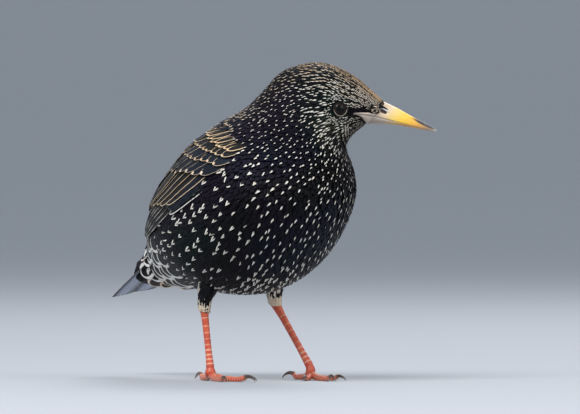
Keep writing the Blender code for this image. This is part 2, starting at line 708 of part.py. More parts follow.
def make_claw(name, ankle, toes, yaw, side, toe, material):
    """A claw curving down from its toe's end, its point just clear of the floor."""
    turn, length, radius, claw = TOES[toe]
    axis = (Vector(toes) - Vector(ankle)).normalized()
    heading = math.radians(yaw + side * turn)
    ahead = Vector((math.cos(heading), math.sin(heading), 0.0))
    place = Vector((toes[0] + axis.x, toes[1] + axis.y, toe_end_height(claw))) + ahead * (length + GAP)
    rise, fall = math.radians(CLAW_RISE), math.radians(CLAW_FALL)
    steps = 5
    rings = [circle_ring(place, ahead, radius * CLAW_THICK, 6)]
    for k in range(1, steps + 1):
        t = k / steps
        slope = rise - (rise + fall) * (t - 0.5 / steps)
        lean = ahead * math.cos(slope) + Vector((0, 0, math.sin(slope)))
        place = place + lean * claw / steps
        rings.append(circle_ring(place, lean, radius * CLAW_THICK * (1.0 - t) ** 0.8 + CLAW_TIP, 6))
    return mesh_object(name, *tube(rings), material)


def main():
    clear_scene()
    plumage = finish("plumage", SOOT, 0.45)
    flight = finish("flight feathers", WING_BROWN, 0.5)
    legs = finish("leg skin", LEG_RED, 0.45)
    horn = finish("claw horn", HORN_BLACK, 0.3)
    thighs = finish("leg feathers", LEG_FEATHER, 0.7)
    eyes = finish("eye", EYE_BROWN, 0.05)
    made = [make_head(plumage), make_flesh("neck", plumage), make_flesh("torso", plumage)]
    made.append(make_mandible("bill_upper", CULMEN, True, finish("bill", BILL_YELLOW, 0.35)))
    made.append(make_mandible("bill_lower", GONYS, False, finish("bill base", BILL_PALE, 0.35)))
    made.append(make_tail(finish("tail feathers", TAIL_GREY, 0.5), np.random.default_rng(7)))
    for name, side in (("left", 1), ("right", -1)):
        made.append(make_eye(side, "eye_" + name, eyes))
        made.append(make_wing(side, "wing_" + name, flight, np.random.default_rng(11 + side)))
        hip, ankle, toes, yaw = LEGS[name]
        made.append(make_thigh("thigh_" + name, hip, ankle, toes, thighs))
        made.append(make_shank("shank_" + name, hip, ankle, toes, legs))
        made.append(make_foot("foot_" + name, ankle, toes, yaw, side, legs))
        for toe in TOES:
            made.append(make_claw(f"claw_{name}_{toe}", ankle, toes, yaw, side, toe, horn))
    bird = bpy.data.objects.new("bird", None)
    bpy.context.scene.collection.objects.link(bird)
    bird.location = (NECK_AXIS[0] * MM, NECK_AXIS[1] * MM, 0.0)
    for obj in made:
        obj.parent = bird


main()
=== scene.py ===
"""The looks of a standing starling in fresh winter plumage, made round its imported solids.

Lengths are millimetres from the upright axis through the bird's neck, turned to metres in world
space by to_world. The bird looks along +X, with +Y on its left, and stands on z = 0.
"""

import math

import bmesh
import bpy
import numpy as np
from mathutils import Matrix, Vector
from mathutils.kdtree import KDTree


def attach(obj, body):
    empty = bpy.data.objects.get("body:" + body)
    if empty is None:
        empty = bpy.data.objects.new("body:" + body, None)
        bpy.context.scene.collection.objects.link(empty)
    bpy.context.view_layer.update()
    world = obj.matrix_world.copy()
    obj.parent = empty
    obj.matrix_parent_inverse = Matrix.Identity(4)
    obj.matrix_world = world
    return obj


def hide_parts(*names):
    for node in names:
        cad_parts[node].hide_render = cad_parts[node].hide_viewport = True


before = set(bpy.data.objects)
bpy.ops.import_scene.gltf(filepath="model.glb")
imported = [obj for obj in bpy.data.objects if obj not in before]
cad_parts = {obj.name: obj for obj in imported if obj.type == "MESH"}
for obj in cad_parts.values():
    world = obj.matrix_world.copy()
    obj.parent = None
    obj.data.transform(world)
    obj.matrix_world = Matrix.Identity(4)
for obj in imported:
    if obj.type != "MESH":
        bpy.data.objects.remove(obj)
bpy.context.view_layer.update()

# Floor, light and camera: a pale matt floor under a pale even sky, a broad soft lamp ahead and above,
# a weaker one on the other side and one behind. The camera is a long lens, nearly level with the bird.
MM = 0.001
FLOOR_HALF = 600.0
FLOOR_COLOUR = (0.36, 0.375, 0.40, 1.0)
SKY_COLOUR = (0.82, 0.90, 1.0, 1.0)
SKY_STRENGTH = 0.66
# A lamp has its (turn, rise) in degrees, its distance and its side in metres, and its power in watts.
LAMPS = {
    "key": ((25.0, 50.0), 1.4, 0.8, 20.0),
    "fill": ((110.0, 30.0), 1.6, 1.0, 8.0),
    "rim": ((215.0, 45.0), 1.4, 0.6, 9.0),
}
VIEW_TURN = 55.0
VIEW_RISE = 1.0
VIEW_CENTRE = (17.67, 68.8)
VIEW_WIDTH = 232.0
VIEW_DISTANCE = 5000.0
SENSOR = 36.0


def in_scene(name, data):
    obj = bpy.data.objects.new(name, data)
    bpy.context.scene.collection.objects.link(obj)
    return obj


def from_above(turn, rise):
    """The direction from the bird to a place turned from -Y towards +X and raised, in degrees."""
    turn, rise = math.radians(turn), math.radians(rise)
    return Vector((math.sin(turn) * math.cos(rise), -math.cos(turn) * math.cos(rise), math.sin(rise)))


def look_at(obj, target):
    way = Vector(target) - obj.location
    obj.rotation_euler = way.to_track_quat("-Z", "Y").to_euler()


floor_mesh = bpy.data.meshes.new("floor")
corners = [(x * FLOOR_HALF, y * FLOOR_HALF, 0.0) for x, y in ((-1, -1), (1, -1), (1, 1), (-1, 1))]
floor_mesh.from_pydata(corners, [], [(0, 1, 2, 3)])
floor = in_scene("floor", floor_mesh)
floor_finish = bpy.data.materials.new("floor")
floor_finish.use_nodes = True
floor_shader = floor_finish.node_tree.nodes["Principled BSDF"]
floor_shader.inputs["Base Color"].default_value = FLOOR_COLOUR
floor_shader.inputs["Roughness"].default_value = 0.8
floor_shader.inputs["Specular IOR Level"].default_value = 0.2
floor_mesh.materials.append(floor_finish)

sky = bpy.data.worlds.new("sky")
sky.use_nodes = True
sky.node_tree.nodes["Background"].inputs["Color"].default_value = SKY_COLOUR
sky.node_tree.nodes["Background"].inputs["Strength"].default_value = SKY_STRENGTH
bpy.context.scene.world = sky

middle = Vector((0.0, 0.0, VIEW_CENTRE[1] * MM))
for name, (place, distance, size, power) in LAMPS.items():
    lamp_data = bpy.data.lights.new(name, "AREA")
    lamp_data.energy = power
    lamp_data.size = size
    lamp = in_scene(name, lamp_data)
    lamp.location = middle + from_above(*place) * distance
    look_at(lamp, middle)

bpy.context.scene.view_settings.view_transform = "Standard"
camera_data = bpy.data.cameras.new("camera")
camera_data.sensor_width = SENSOR
camera_data.lens = SENSOR * VIEW_DISTANCE / VIEW_WIDTH
camera_data.clip_end = 2000.0
camera = in_scene("camera", camera_data)
view_turn = math.radians(VIEW_TURN)
target = Vector((math.cos(view_turn), math.sin(view_turn), 0.0)) * VIEW_CENTRE[0] * MM
target.z = VIEW_CENTRE[1] * MM
camera.location = target + from_above(VIEW_TURN, VIEW_RISE) * VIEW_DISTANCE * MM
look_at(camera, target)
bpy.context.scene.camera = camera


# The skin: one closed surface from the bill's root to the tail's root, with the legs' feathered part.
# It lies under the coat by the coat's depth, in soft black down that shows only between feathers.
NECK_AXIS = np.array([32.34, -8.4, 0.0])
HEAD_YAW = 55.0
# A section has its turn in degrees, its top and its bottom as (reach, height), its half width, and how
# high its widest line lies between them.
SECTIONS = {
    "bill root": (55, (44.0, 110.9), (36.4, 102.2), 3.9, 0.50),
    "forehead": (55, (38.5, 115.9), (33.6, 100.2), 6.4, 0.48),
    "lores": (55, (32.6, 120.9), (31.0, 97.8), 9.0, 0.48),
    "eyes": (55, (25.6, 124.9), (29.6, 95.6), 11.2, 0.48),
    "crown": (55, (18.6, 127.0), (28.8, 94.0), 12.6, 0.50),
    "ear coverts": (54, (10.6, 126.2), (28.9, 92.0), 13.6, 0.52),
    "nape": (50, (2.2, 122.9), (29.8, 89.0), 15.0, 0.52),
    "hind neck": (42, (-5.0, 115.2), (31.2, 85.0), 18.0, 0.50),
    "shoulders": (28, (-11.6, 108.6), (32.4, 79.0), 24.2, 0.50),
    "mantle": (12, (-20.6, 104.2), (31.0, 69.0), 30.4, 0.50),
    "breast": (3, (-31.2, 98.6), (22.4, 55.4), 33.8, 0.50),
    "back": (0, (-41.6, 91.4), (7.2, 42.8), 34.4, 0.50),
    "belly": (0, (-54.0, 82.0), (-13.0, 34.6), 31.8, 0.50),
    "rump": (0, (-64.6, 72.4), (-36.0, 34.8), 24.4, 0.50),
    "vent": (0, (-71.6, 64.4), (-57.0, 36.4), 16.4, 0.52),
    "tail root": (0, (-75.6, 57.4), (-73.6, 38.2), 10.2, 0.55),
}
LAST = len(SECTIONS) - 1
SQUARENESS = 2.1
TAIL_CORE = (
    ((-79.4, 54.0), (-79.0, 37.2), 9.4),
    ((-83.0, 49.4), (-84.2, 36.8), 8.6),
    ((-86.6, 44.8), (-88.6, 37.6), 7.4),
)
COAT_END = LAST + len(TAIL_CORE)
# Lines over the form: places along it, counted in sections, with a depth or with degrees from the ridge.
COAT_DEPTH = ((0.0, 0.25), (2.0, 0.6), (6.0, 1.2), (9.0, 1.7), (LAST, 1.5), (COAT_END, 1.0))
WING_TOP = ((8.75, 42.0), (10.4, 33.0), (11.4, 31.0), (13.0, 35.0), (14.4, 42.0))
WING_LOW = ((8.75, 86.0), (10.4, 86.0), (11.4, 84.0), (13.0, 80.0), (14.4, 66.0))
BED_DEPTH = 1.5
BED_SOFT = 12.0
SKIN_ROWS = 150
SKIN_SIDES = 96
# Each thigh from the hip to the heel.
THIGHS = {
    "left": ((-21.0, 14.0, 41.0), (-23.2, 16.0, 30.8)),
    "right": ((-25.0, -14.0, 41.0), (-26.2, -16.4, 30.6)),
}
THIGH_RADII = (4.9, 4.1, 2.9, 1.7)
THIGH_RINGS = 13
THIGH_SIDES = 32
PALE_WHITE = (0.84, 0.81, 0.73)
PALE_BUFF = (0.80, 0.50, 0.23)


def to_world(points):
    return (np.asarray(points, float) + NECK_AXIS) * MM


def smooth_values(values, places):
    """Cubic Hermite values of a list with one entry at each whole place."""
    values = np.asarray(values, float)
    places = np.asarray(places, float)
    slopes = np.gradient(values, axis=0)
    cell = np.clip(np.floor(places).astype(int), 0, len(values) - 2)
    t = (places - cell)[..., None]
    start = (2 * t**3 - 3 * t**2 + 1) * values[cell] + (t**3 - 2 * t**2 + t) * slopes[cell]
    end = (3 * t**2 - 2 * t**3) * values[cell + 1] + (t**3 - t**2) * slopes[cell + 1]
    return start + end


def smooth_line(values, places):
    """The same for a list of single numbers."""
    return smooth_values(np.array(values)[:, None], places)[..., 0]


def stepped(pairs, places):
    """Straight-line values of a list of (place, value)."""
    return np.interp(places, [place for place, value in pairs], [value for place, value in pairs])


def thigh_radius(share):
    """How thick the thigh is from the hip, at 0, to the heel, at 1."""
    return smooth_line(THIGH_RADII, np.asarray(share) * (len(THIGH_RADII) - 1.0))


def unit(vectors):
    return vectors / np.linalg.norm(vectors, axis=-1, keepdims=True)


def square_to(up, ahead):
    """The direction nearest to up that is square to ahead."""
    return unit(up - ahead * np.sum(up * ahead, axis=-1, keepdims=True))


def outline_point(along, around):
    """A point of the feathered form. around is in degrees, from the dorsal ridge down the left side."""
    rows = [(yaw, *top, *low, width, belt) for yaw, top, low, width, belt in SECTIONS.values()]
    yaw, top_r, top_z, low_r, low_z, width, belt = np.moveaxis(smooth_values(rows, along), -1, 0)
    turn = np.radians(yaw)
    ahead = np.stack([np.cos(turn), np.sin(turn), 0 * turn], -1)
    left = np.stack([-np.sin(turn), np.cos(turn), 0 * turn], -1)
    up = np.array([0.0, 0.0, 1.0])
    top = ahead * top_r[..., None] + up * top_z[..., None]
    low = ahead * low_r[..., None] + up * low_z[..., None]
    across, upward = np.sin(np.radians(around)), np.cos(np.radians(around))
    across = np.sign(across) * np.abs(across) ** (2 / SQUARENESS)
    upward = np.sign(upward) * np.abs(upward) ** (2 / SQUARENESS)
    centre = low + (top - low) * belt[..., None]
    lift = np.where((upward > 0)[..., None], top - centre, centre - low)
    return centre + left * (width * across)[..., None] + lift * upward[..., None]


def coat_point(along, around):
    """The feathered form, carried on from the body's last section down the core of the tail."""
    along, around = np.broadcast_arrays(np.asarray(along, float), np.asarray(around, float))
    body = outline_point(np.minimum(along, LAST), around)
    upward, across = np.cos(np.radians(around))[..., None], np.sin(np.radians(around))[..., None]
    rows = [outline_point(np.full(around.shape, float(LAST)), around)]
    for (top_r, top_z), (low_r, low_z), half in TAIL_CORE:
        top, low = np.array([top_r, 0.0, top_z]), np.array([low_r, 0.0, low_z])
        rows.append((top + low) / 2 + (top - low) / 2 * upward + np.array([0.0, half, 0.0]) * across)
    rows = np.stack(rows)
    place = np.clip(along - LAST, 0.0, len(TAIL_CORE))
    cell = np.minimum(place.astype(int), len(TAIL_CORE) - 1)
    share = (place - cell)[..., None]
    start = np.take_along_axis(rows, cell[None, ..., None], 0)[0]
    end = np.take_along_axis(rows, cell[None, ..., None] + 1, 0)[0]
    return np.where((along <= LAST)[..., None], body, start * (1 - share) + end * share)


def coat_normal(along, around):
    """The outward direction of the feathered form."""
    step = 0.02
    inner = np.clip(along, step, COAT_END - step)
    down = coat_point(inner + step, around) - coat_point(inner - step, around)
    turn = coat_point(inner, around + 0.5) - coat_point(inner, around - 0.5)
    return unit(np.cross(turn, down))


def on_coat(along, around, lift):
    """A point of the feathered form, moved out along its normal."""
    along, around, lift = np.broadcast_arrays(*(np.asarray(x, float) for x in (along, around, lift)))
    return coat_point(along, around) + coat_normal(along, around) * lift[..., None]


def from_ridge(around):
    """The angle from the dorsal ridge, the same on both sides."""
    return np.abs((np.asarray(around) + 180.0) % 360.0 - 180.0)


def way_along(points):
    """The length of each step of a line of points."""
    return np.linalg.norm(np.diff(points, axis=0), axis=1)


def in_wing(along, around, inset):
    """How far inside the folded wing's borders a place is, as degrees round, less the inset."""
    ridge = from_ridge(around)
    inside = np.minimum(ridge - stepped(WING_TOP, along), stepped(WING_LOW, along) - ridge) - inset
    return np.where((along > WING_TOP[0][0]) & (along < WING_TOP[-1][0]), inside, -1.0)


def closed_object(name, points, faces):
    """A smooth object at the origin from points in metres, with its faces turned out."""
    mesh = bpy.data.meshes.new(name)
    mesh.from_pydata(points, [], faces)
    bm = bmesh.new()
    bm.from_mesh(mesh)
    bmesh.ops.recalc_face_normals(bm, faces=bm.faces)
    bm.to_mesh(mesh)
    bm.free()
    mesh.shade_smooth()
    return in_scene(name, mesh)


def add_mesh(name, points, faces):
    """The same from points in millimetres from the neck's axis."""
    return closed_object(name, to_world(points).tolist(), faces)


def tube(rings):
    """Points and faces of a closed tube through rings of equal count, with flat ends."""
    count = len(rings[0])
    points = [point for ring in rings for point in ring]
    faces = []
    for row in range(len(rings) - 1):
        for k in range(count):
            a, b = row * count + k, row * count + (k + 1) % count
            faces.append((a, b, b + count, a + count))
    last = (len(rings) - 1) * count
    faces.append(tuple(range(count - 1, -1, -1)))
    faces.append(tuple(range(last, last + count)))
    return points, faces


def ring_round(centre, normal, radii):
    """A ring round a centre, with one radius for each place round it, from the top over the left side."""
    normal = Vector(normal).normalized()
    side = normal.cross(Vector((0, 0, 1))).normalized()
    up = side.cross(normal).normalized()
    turns = [2 * math.pi * (k + 0.5) / len(radii) for k in range(len(radii))]
    return [Vector(centre) + (side * math.sin(t) + up * math.cos(t)) * r for t, r in zip(turns, radii)]


def fuse(base, others):
    """Joins closed meshes by one union, and keeps the base."""
    group = bpy.data.collections.new("to join")
    for obj in others:
        group.objects.link(obj)
    modifier = base.modifiers.new("join", "BOOLEAN")
    modifier.operation = "UNION"
    modifier.operand_type = "COLLECTION"
    modifier.collection = group
    modifier.solver = "MANIFOLD"
    bpy.context.view_layer.update()
    mesh = bpy.data.meshes.new_from_object(base.evaluated_get(bpy.context.evaluated_depsgraph_get()))
    base.modifiers.clear()
    base.data = mesh
    for obj in others:
        bpy.data.objects.remove(obj)
    bpy.data.collections.remove(group)


class Wire:
    """A socket in a tree of nodes. Sums and products with it add the Math nodes that they need."""

    def __init__(self, nodes, socket):
        self.nodes = nodes
        self.socket = socket

    def math(self, operation, *values):
        return self.nodes.add("ShaderNodeMath", {"operation": operation}, values)

    def ramp(self, low, high, start=0.0, end=1.0):
        """A soft step from start to end as the value goes from low to high."""
        settings = {"interpolation_type": "SMOOTHSTEP"}
        return self.nodes.add("ShaderNodeMapRange", settings, [self, low, high, start, end])

    def at(self, index):
        """One of the three numbers of a vector."""
        return self.nodes.add("ShaderNodeSeparateXYZ", {}, [self], index)

    __add__ = __radd__ = lambda self, other: self.math("ADD", self, other)
    __mul__ = __rmul__ = lambda self, other: self.math("MULTIPLY", self, other)
    __sub__ = lambda self, other: self.math("SUBTRACT", self, other)
    __rsub__ = lambda self, other: self.math("SUBTRACT", other, self)
    __truediv__ = lambda self, other: self.math("DIVIDE", self, other)
    __pow__ = lambda self, other: self.math("POWER", self, other)
    __abs__ = lambda self: self.math("ABSOLUTE", self)


class Nodes:
    """A tree that takes nodes by type, settings and the values or wires of their sockets."""

    def __init__(self, tree):
        self.tree = tree

    def add(self, kind, settings, values, output=0):
        node = self.tree.nodes.new(kind)
        for name, value in settings.items():
            setattr(node, name, value)
        for key, value in values.items() if isinstance(values, dict) else enumerate(values):
            self.feed(node.inputs[key], value)
        return Wire(self, node.outputs[output])

    def feed(self, socket, value):
        if isinstance(value, Wire):
            self.tree.links.new(value.socket, socket)
        else:
            socket.default_value = value


class Finish(Nodes):
    """A material with one Principled shader."""

    def __init__(self, name, **constants):
        self.material = bpy.data.materials.new(name)
        self.material.use_nodes = True
        super().__init__(self.material.node_tree)
        self.shader = self.tree.nodes["Principled BSDF"]
        for socket, value in constants.items():
            self.set(socket.replace("_", " "), value)

    def set(self, socket, value):
        self.feed(self.shader.inputs[socket], (*value, 1.0) if isinstance(value, tuple) else value)

    def mix(self, share, first, second):
        first, second = ((*c, 1.0) if isinstance(c, tuple) else c for c in (first, second))
        return self.add("ShaderNodeMix", {"data_type": "RGBA"}, {0: share, 6: first, 7: second}, 2)

    def attribute(self, name):
        return self.add("ShaderNodeAttribute", {"attribute_name": name}, {}, "Vector")

    def place(self):
        return self.add("ShaderNodeTexCoord", {}, {}, "Object")

    def map(self, name):
        return self.add("ShaderNodeUVMap", {"uv_map": name}, {})

    def noise(self, vector, scale, detail=2.0):
        return self.add("ShaderNodeTexNoise", {}, {"Vector": vector, "Scale": scale, "Detail": detail})

    def bump(self, height, distance):
        self.set("Normal", self.add("ShaderNodeBump", {}, {"Height": height, "Distance": distance}))


skin_rings = []
turns = np.arange(SKIN_SIDES) * 360.0 / SKIN_SIDES
for along in np.linspace(0.0, COAT_END, SKIN_ROWS):
    bed = BED_DEPTH * np.clip(in_wing(along, turns, 0.0) / BED_SOFT, 0.0, 1.0)
    skin_rings.append(on_coat(along, turns, -(stepped(COAT_DEPTH, along) + bed)))
skin = add_mesh("skin", *tube(skin_rings))
thighs = []
for name, (hip, ankle) in THIGHS.items():
    hip, ankle = Vector(hip), Vector(ankle)
    shares = np.linspace(0.0, 1.0, THIGH_RINGS)
    radii = thigh_radius(shares)
    rings = [ring_round(hip.lerp(ankle, t), ankle - hip, [r] * THIGH_SIDES) for t, r in zip(shares, radii)]
    thighs.append(add_mesh("thigh", *tube(rings)))
fuse(skin, thighs)
skin.data.materials.clear()
skin.data.shade_smooth()
down = Finish("down", Roughness=0.85, Specular_IOR_Level=0.1)
skin_mark = down.attribute("mark")
fluff = down.noise(down.place(), 1400.0, 3.0)
skin_pale = down.mix(skin_mark.at(1), PALE_WHITE, PALE_BUFF)
down.set("Base Color", down.mix(skin_mark.at(0) * fluff, down.attribute("tint"), skin_pale))
down.bump(fluff, 0.0003)
skin.data.materials.append(down.material)
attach(skin, "root")
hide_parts("head", "neck", "torso", "thigh_left", "thigh_right")


# The eyes: glossy balls with a dark brown iris round a black pupil. A ring of bare, finely beaded
# skin, dark above and paler under the eye, is the edge of the lids and hugs the ball. Its dark outer
# band, where it meets the feathers, is painted shadow.
EYE_PLACE = (3.55, 96.5)
EYE_RADIUS = 3.9
EYE_SUNK = 3.0
EYE_ROWS = 36
EYE_TURNS = 48
CORNEA_RISE = 0.03
CORNEA_REACH = 2.2
PUPIL = 1.9
IRIS = 2.8
PUPIL_COLOUR = (0.002, 0.002, 0.002)
IRIS_COLOUR = (0.010, 0.0055, 0.0035)
IRIS_SPECKS = (0.022, 0.011, 0.006)
# The lids' section as (way from the eye's axis, rise above its centre), with the beads on the rim.
LID_PROFILE = (
    (2.56, 3.06), (2.67, 3.18), (2.82, 3.18), (3.00, 2.92), (3.22, 2.4), (3.5, 1.5), (3.3, 1.0), (2.8, 2.2),
)
LID_RIM = (1, 2, 3)
LID_BEADS = 44
LID_BEAD_RISE = 0.07
LID_LENGTHENED = 0.05
# The dark of the upper lid, and painted shadow on the lids' outer band.
LID_DARK_AND_SHADOW = (0.008, 0.007, 0.007)
LID_PALE = (0.30, 0.26, 0.21)
SIDES = ((1, "left"), (-1, "right"))


def eye_axes(side):
    """Centre of an eyeball and its axes: forward, up and out of the head."""
    along, around = (np.asarray(x) for x in (EYE_PLACE[0], side * EYE_PLACE[1]))
    out = coat_normal(along, around)
    up = square_to(np.array([0.0, 0.0, 1.0]), out)
    return coat_point(along, around) - out * EYE_SUNK, np.cross(up, out), up, out


def round_eye(forward, up, count):
    """Turns round an eye's axis, each with its direction."""
    turns = [2 * math.pi * k / count for k in range(count)]
    return [(turn, forward * math.cos(turn) + up * math.sin(turn)) for turn in turns]


def paint_map(obj, name, values):
    """A map on a mesh from one pair of numbers for each of its points."""
    layer = obj.data.uv_layers.new(name=name)
    corners = np.empty(len(obj.data.loops), np.int32)
    obj.data.loops.foreach_get("vertex_index", corners)
    layer.data.foreach_set("uv", np.asarray(values, np.float32)[corners].ravel())


eye_finish = Finish("eye", Roughness=0.03, IOR=1.31, Specular_IOR_Level=0.32)
from_pupil = eye_finish.map("eye").at(0)
iris_speck = eye_finish.noise(eye_finish.place(), 1800.0, 3.0)
iris_colour = eye_finish.mix(iris_speck, IRIS_COLOUR, IRIS_SPECKS)
in_iris = from_pupil.ramp(PUPIL - 0.12, PUPIL + 0.12) * from_pupil.ramp(IRIS + 0.1, IRIS - 0.25)
eye_finish.set("Base Color", eye_finish.mix(in_iris, PUPIL_COLOUR, iris_colour))

lid_finish = Finish("lids", Roughness=0.6, Specular_IOR_Level=0.12)
lid_map = lid_finish.map("lid")
# Pale on the inner rim under the eye, dark elsewhere; the dark outer band is painted shadow.
pale = lid_map.at(1).ramp(0.15, -0.35) * lid_map.at(0).ramp(2.90, 2.78)
lid_finish.set("Base Color", lid_finish.mix(pale, LID_DARK_AND_SHADOW, LID_PALE))
lid_finish.bump(lid_finish.noise(lid_finish.place(), 4000.0), 0.00015)

for side, name in SIDES:
    centre, forward, up, out = eye_axes(side)
    points, eye_values = [], []
    for row in range(EYE_ROWS + 1):
        lean = math.pi * row / EYE_ROWS
        in_front = lean < 1.5
        away = EYE_RADIUS * max(math.sin(lean), 0.004)
        bulge = 1.0 + CORNEA_RISE * math.exp(-((away / CORNEA_REACH) ** 2)) * in_front
        for turn, flat in round_eye(forward, up, EYE_TURNS):
            points.append(centre + flat * away + out * EYE_RADIUS * math.cos(lean) * bulge)
            eye_values.append((away if in_front else EYE_RADIUS, turn))
    eyeball = add_mesh("eyeball_" + name, *tube(np.array(points).reshape(EYE_ROWS + 1, EYE_TURNS, 3)))
    paint_map(eyeball, "eye", eye_values)
    eyeball.data.materials.append(eye_finish.material)
    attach(eyeball, "root")
    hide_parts("eye_" + name)

    points, lid_values, faces = [], [], []
    for turn, flat in round_eye(forward, up, LID_BEADS * 4):
        bead = 0.5 + 0.5 * math.cos(LID_BEADS * turn)
        narrow = 1.0 - LID_LENGTHENED * abs(math.sin(turn))
        for step, (away, rise) in enumerate(LID_PROFILE):
            grown = LID_BEAD_RISE * bead if step in LID_RIM else 0.0
            points.append(centre + flat * away * narrow + out * (rise + grown))
            lid_values.append((away, math.sin(turn)))
    steps = len(LID_PROFILE)
    for first in range(0, len(points), steps):
        for j in range(steps):
            a, b = first + j, first + (j + 1) % steps
            faces.append((a, b, (b + steps) % len(points), (a + steps) % len(points)))
    lids = add_mesh("lids_" + name, points, faces)
    paint_map(lids, "lid", lid_values)
    lids.data.materials.append(lid_finish.material)
    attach(lids, "root")


# The bill: two horn sheaths, satin, pale at the root, yellow along the middle, with a dark ridge
# towards a pale tip. Each nostril is a slit in painted shade under a flap with a painted highlight,
# close behind the border of the feathers.
# Lines from the root to the tip as (reach, height).
CULMEN = ((44.3, 110.8), (48.6, 108.7), (53.2, 106.1), (57.6, 103.8), (61.4, 101.7), (64.2, 99.9))
MOUTH = ((40.4, 105.0), (45.0, 103.9), (49.8, 102.7), (54.9, 101.5), (60.0, 100.5), (64.0, 99.6))
GONYS = ((36.9, 102.3), (42.5, 102.3), (47.6, 102.0), (53.0, 101.2), (58.8, 100.1), (63.4, 99.25))
BILL_HALF_WIDTH = (3.5, 3.1, 2.6, 2.0, 1.35, 0.5)
BILL_ROWS = 150
BILL_ROOT = 0.55
BILL_SIDES = 40
BILL_FULLNESS = 1.3 / 1.55
BILL_HOLLOW = 0.12
NOSTRIL = (43.1, 107.3)
NOSTRIL_HALF = (1.75, 0.50)
NOSTRIL_LEAN = -26.0
NOSTRIL_DEPTH = 0.75
FLAP_RISE = 0.22
UPPER_STOPS = (
    (0.0, (0.50, 0.38, 0.27)), (0.12, (0.64, 0.48, 0.30)), (0.24, (0.76, 0.52, 0.14)),
    (0.38, (0.78, 0.49, 0.03)), (0.60, (0.68, 0.34, 0.03)), (0.78, (0.38, 0.20, 0.08)),
    (0.92, (0.27, 0.20, 0.14)), (1.0, (0.60, 0.52, 0.40)),
)
LOWER_STOPS = (
    (0.0, (0.36, 0.29, 0.25)), (0.18, (0.46, 0.36, 0.28)), (0.34, (0.60, 0.39, 0.14)),
    (0.50, (0.62, 0.27, 0.012)), (0.70, (0.64, 0.29, 0.02)), (0.85, (0.36, 0.22, 0.10)),
    (1.0, (0.48, 0.40, 0.30)),
)
HORN_DARK = (0.030, 0.022, 0.022)
# Painted shade in the nostril's slit, and a painted highlight on its flap.
SLIT_PAINTED_SHADE = (0.030, 0.008, 0.008)
FLAP_PAINTED_HIGHLIGHT = (0.56, 0.55, 0.52)


def in_head_plane(reach, height, across=0.0):
    """A point of the head by its reach ahead of the neck axis, its height and its way to the left."""
    turn = math.radians(HEAD_YAW)
    x = reach * np.cos(turn) - across * np.sin(turn)
    y = reach * np.sin(turn) + across * np.cos(turn)
    return np.stack(np.broadcast_arrays(x, y, height), -1)


def stops(finish, value, pairs):
    """A ramp of colours along a value."""
    node = finish.tree.nodes.new("ShaderNodeValToRGB")
    finish.feed(node.inputs[0], value)
    elements = node.color_ramp.elements
    for k, (place, colour) in enumerate(pairs):
        stop = elements[k] if k < 2 else elements.new(place)
        stop.position = place
        stop.color = (*colour, 1.0)
    return Wire(finish, node.outputs[0])


def bill_half(name, edge, colours, is_upper):
    """One sheath, from the mouth line to its outer edge, and its finish. The upper one has the nostrils
    and a dark ridge."""
    places = np.linspace(-BILL_ROOT, len(edge) - 1.0, BILL_ROWS)
    edge_line, mouth_line = smooth_values(edge, places), smooth_values(MOUTH, places)
    halves = smooth_line(BILL_HALF_WIDTH, places)
    lean = np.linspace(0.0, math.pi, BILL_SIDES)
    height = np.abs(np.sin(lean)) ** BILL_FULLNESS
    across = np.cos(lean) * (1.0 - 0.10 * height)
    inside = np.linspace(math.pi, 0.0, 9)[1:-1]
    outward = np.concatenate([height, BILL_HOLLOW * np.sin(inside)])[:, None]
    sideways = np.concatenate([across, np.cos(inside) * 0.86])
    to_edge = np.concatenate([height, 0 * inside])
    rings, values, nostril = [], [], []
    for place, ridge, mouth, half in zip(places, edge_line, mouth_line, halves):
        base = mouth + unit(ridge - mouth) * 0.1
        line = base + (ridge - base) * outward
        wide = sideways * half
        if is_upper:
            turn = math.radians(NOSTRIL_LEAN)
            from_slit = line - np.array(NOSTRIL)
            lengthwise = from_slit @ np.array([math.cos(turn), math.sin(turn)]) / NOSTRIL_HALF[0]
            upward = from_slit @ np.array([-math.sin(turn), math.cos(turn)]) / NOSTRIL_HALF[1]
            slit = np.exp(-(lengthwise**4) - upward**4)
            flap = np.exp(-(lengthwise**4) - ((upward - 2.0) / 1.1) ** 4)
            on_side = np.abs(wide) > 0.4
            wide = wide - np.sign(wide) * (NOSTRIL_DEPTH * slit - FLAP_RISE * flap) * on_side
            slit = np.exp(-((lengthwise / 0.85) ** 4) - (upward / 1.4) ** 4)
            nostril += list(zip(slit, flap))
        rings.append(in_head_plane(line[:, 0], line[:, 1], wide))
        values += [(max(0.0, place) / places[-1], share) for share in to_edge]
    obj = add_mesh(name, *tube(rings))
    paint_map(obj, "bill", values)
    finish = Finish(name, Roughness=0.36, Coat_Weight=0.12, Coat_Roughness=0.25)
    t, s = finish.map("bill").at(0), finish.map("bill").at(1)
    cloudy = finish.noise(finish.place(), 300.0, 3.0) - 0.5
    colour = stops(finish, t + cloudy * 0.08, colours)
    if is_upper:
        ridge_from = (1.18 - t * 0.95).math("MAXIMUM", 1.18 - t * 0.95, 0.42)
        past_ridge = s + cloudy * 0.25 - ridge_from
        dark = past_ridge.ramp(-0.05, 0.12) * t.ramp(0.42, 0.6) * t.ramp(1.0, 0.93)
        colour = finish.mix(dark, colour, HORN_DARK)
        paint_map(obj, "nostril", nostril)
        # A painted highlight on the flap, then painted shade in the slit.
        colour = finish.mix(finish.map("nostril").at(1).ramp(0.2, 0.6), colour, FLAP_PAINTED_HIGHLIGHT)
        colour = finish.mix(finish.map("nostril").at(0).ramp(0.25, 0.6), colour, SLIT_PAINTED_SHADE)
    finish.set("Base Color", colour)
    grain = finish.add("ShaderNodeMapping", {}, {"Vector": finish.map("bill"), "Scale": (6.0, 60.0, 1.0)})
    finish.bump(finish.noise(grain, 3.0, 3.0), 0.00008)
    obj.data.materials.append(finish.material)
    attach(obj, "root")
    return obj


upper = bill_half("upper_bill", CULMEN, UPPER_STOPS, True)
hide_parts("bill_upper")
lower = bill_half("lower_bill", GONYS, LOWER_STOPS, False)
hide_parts("bill_lower")


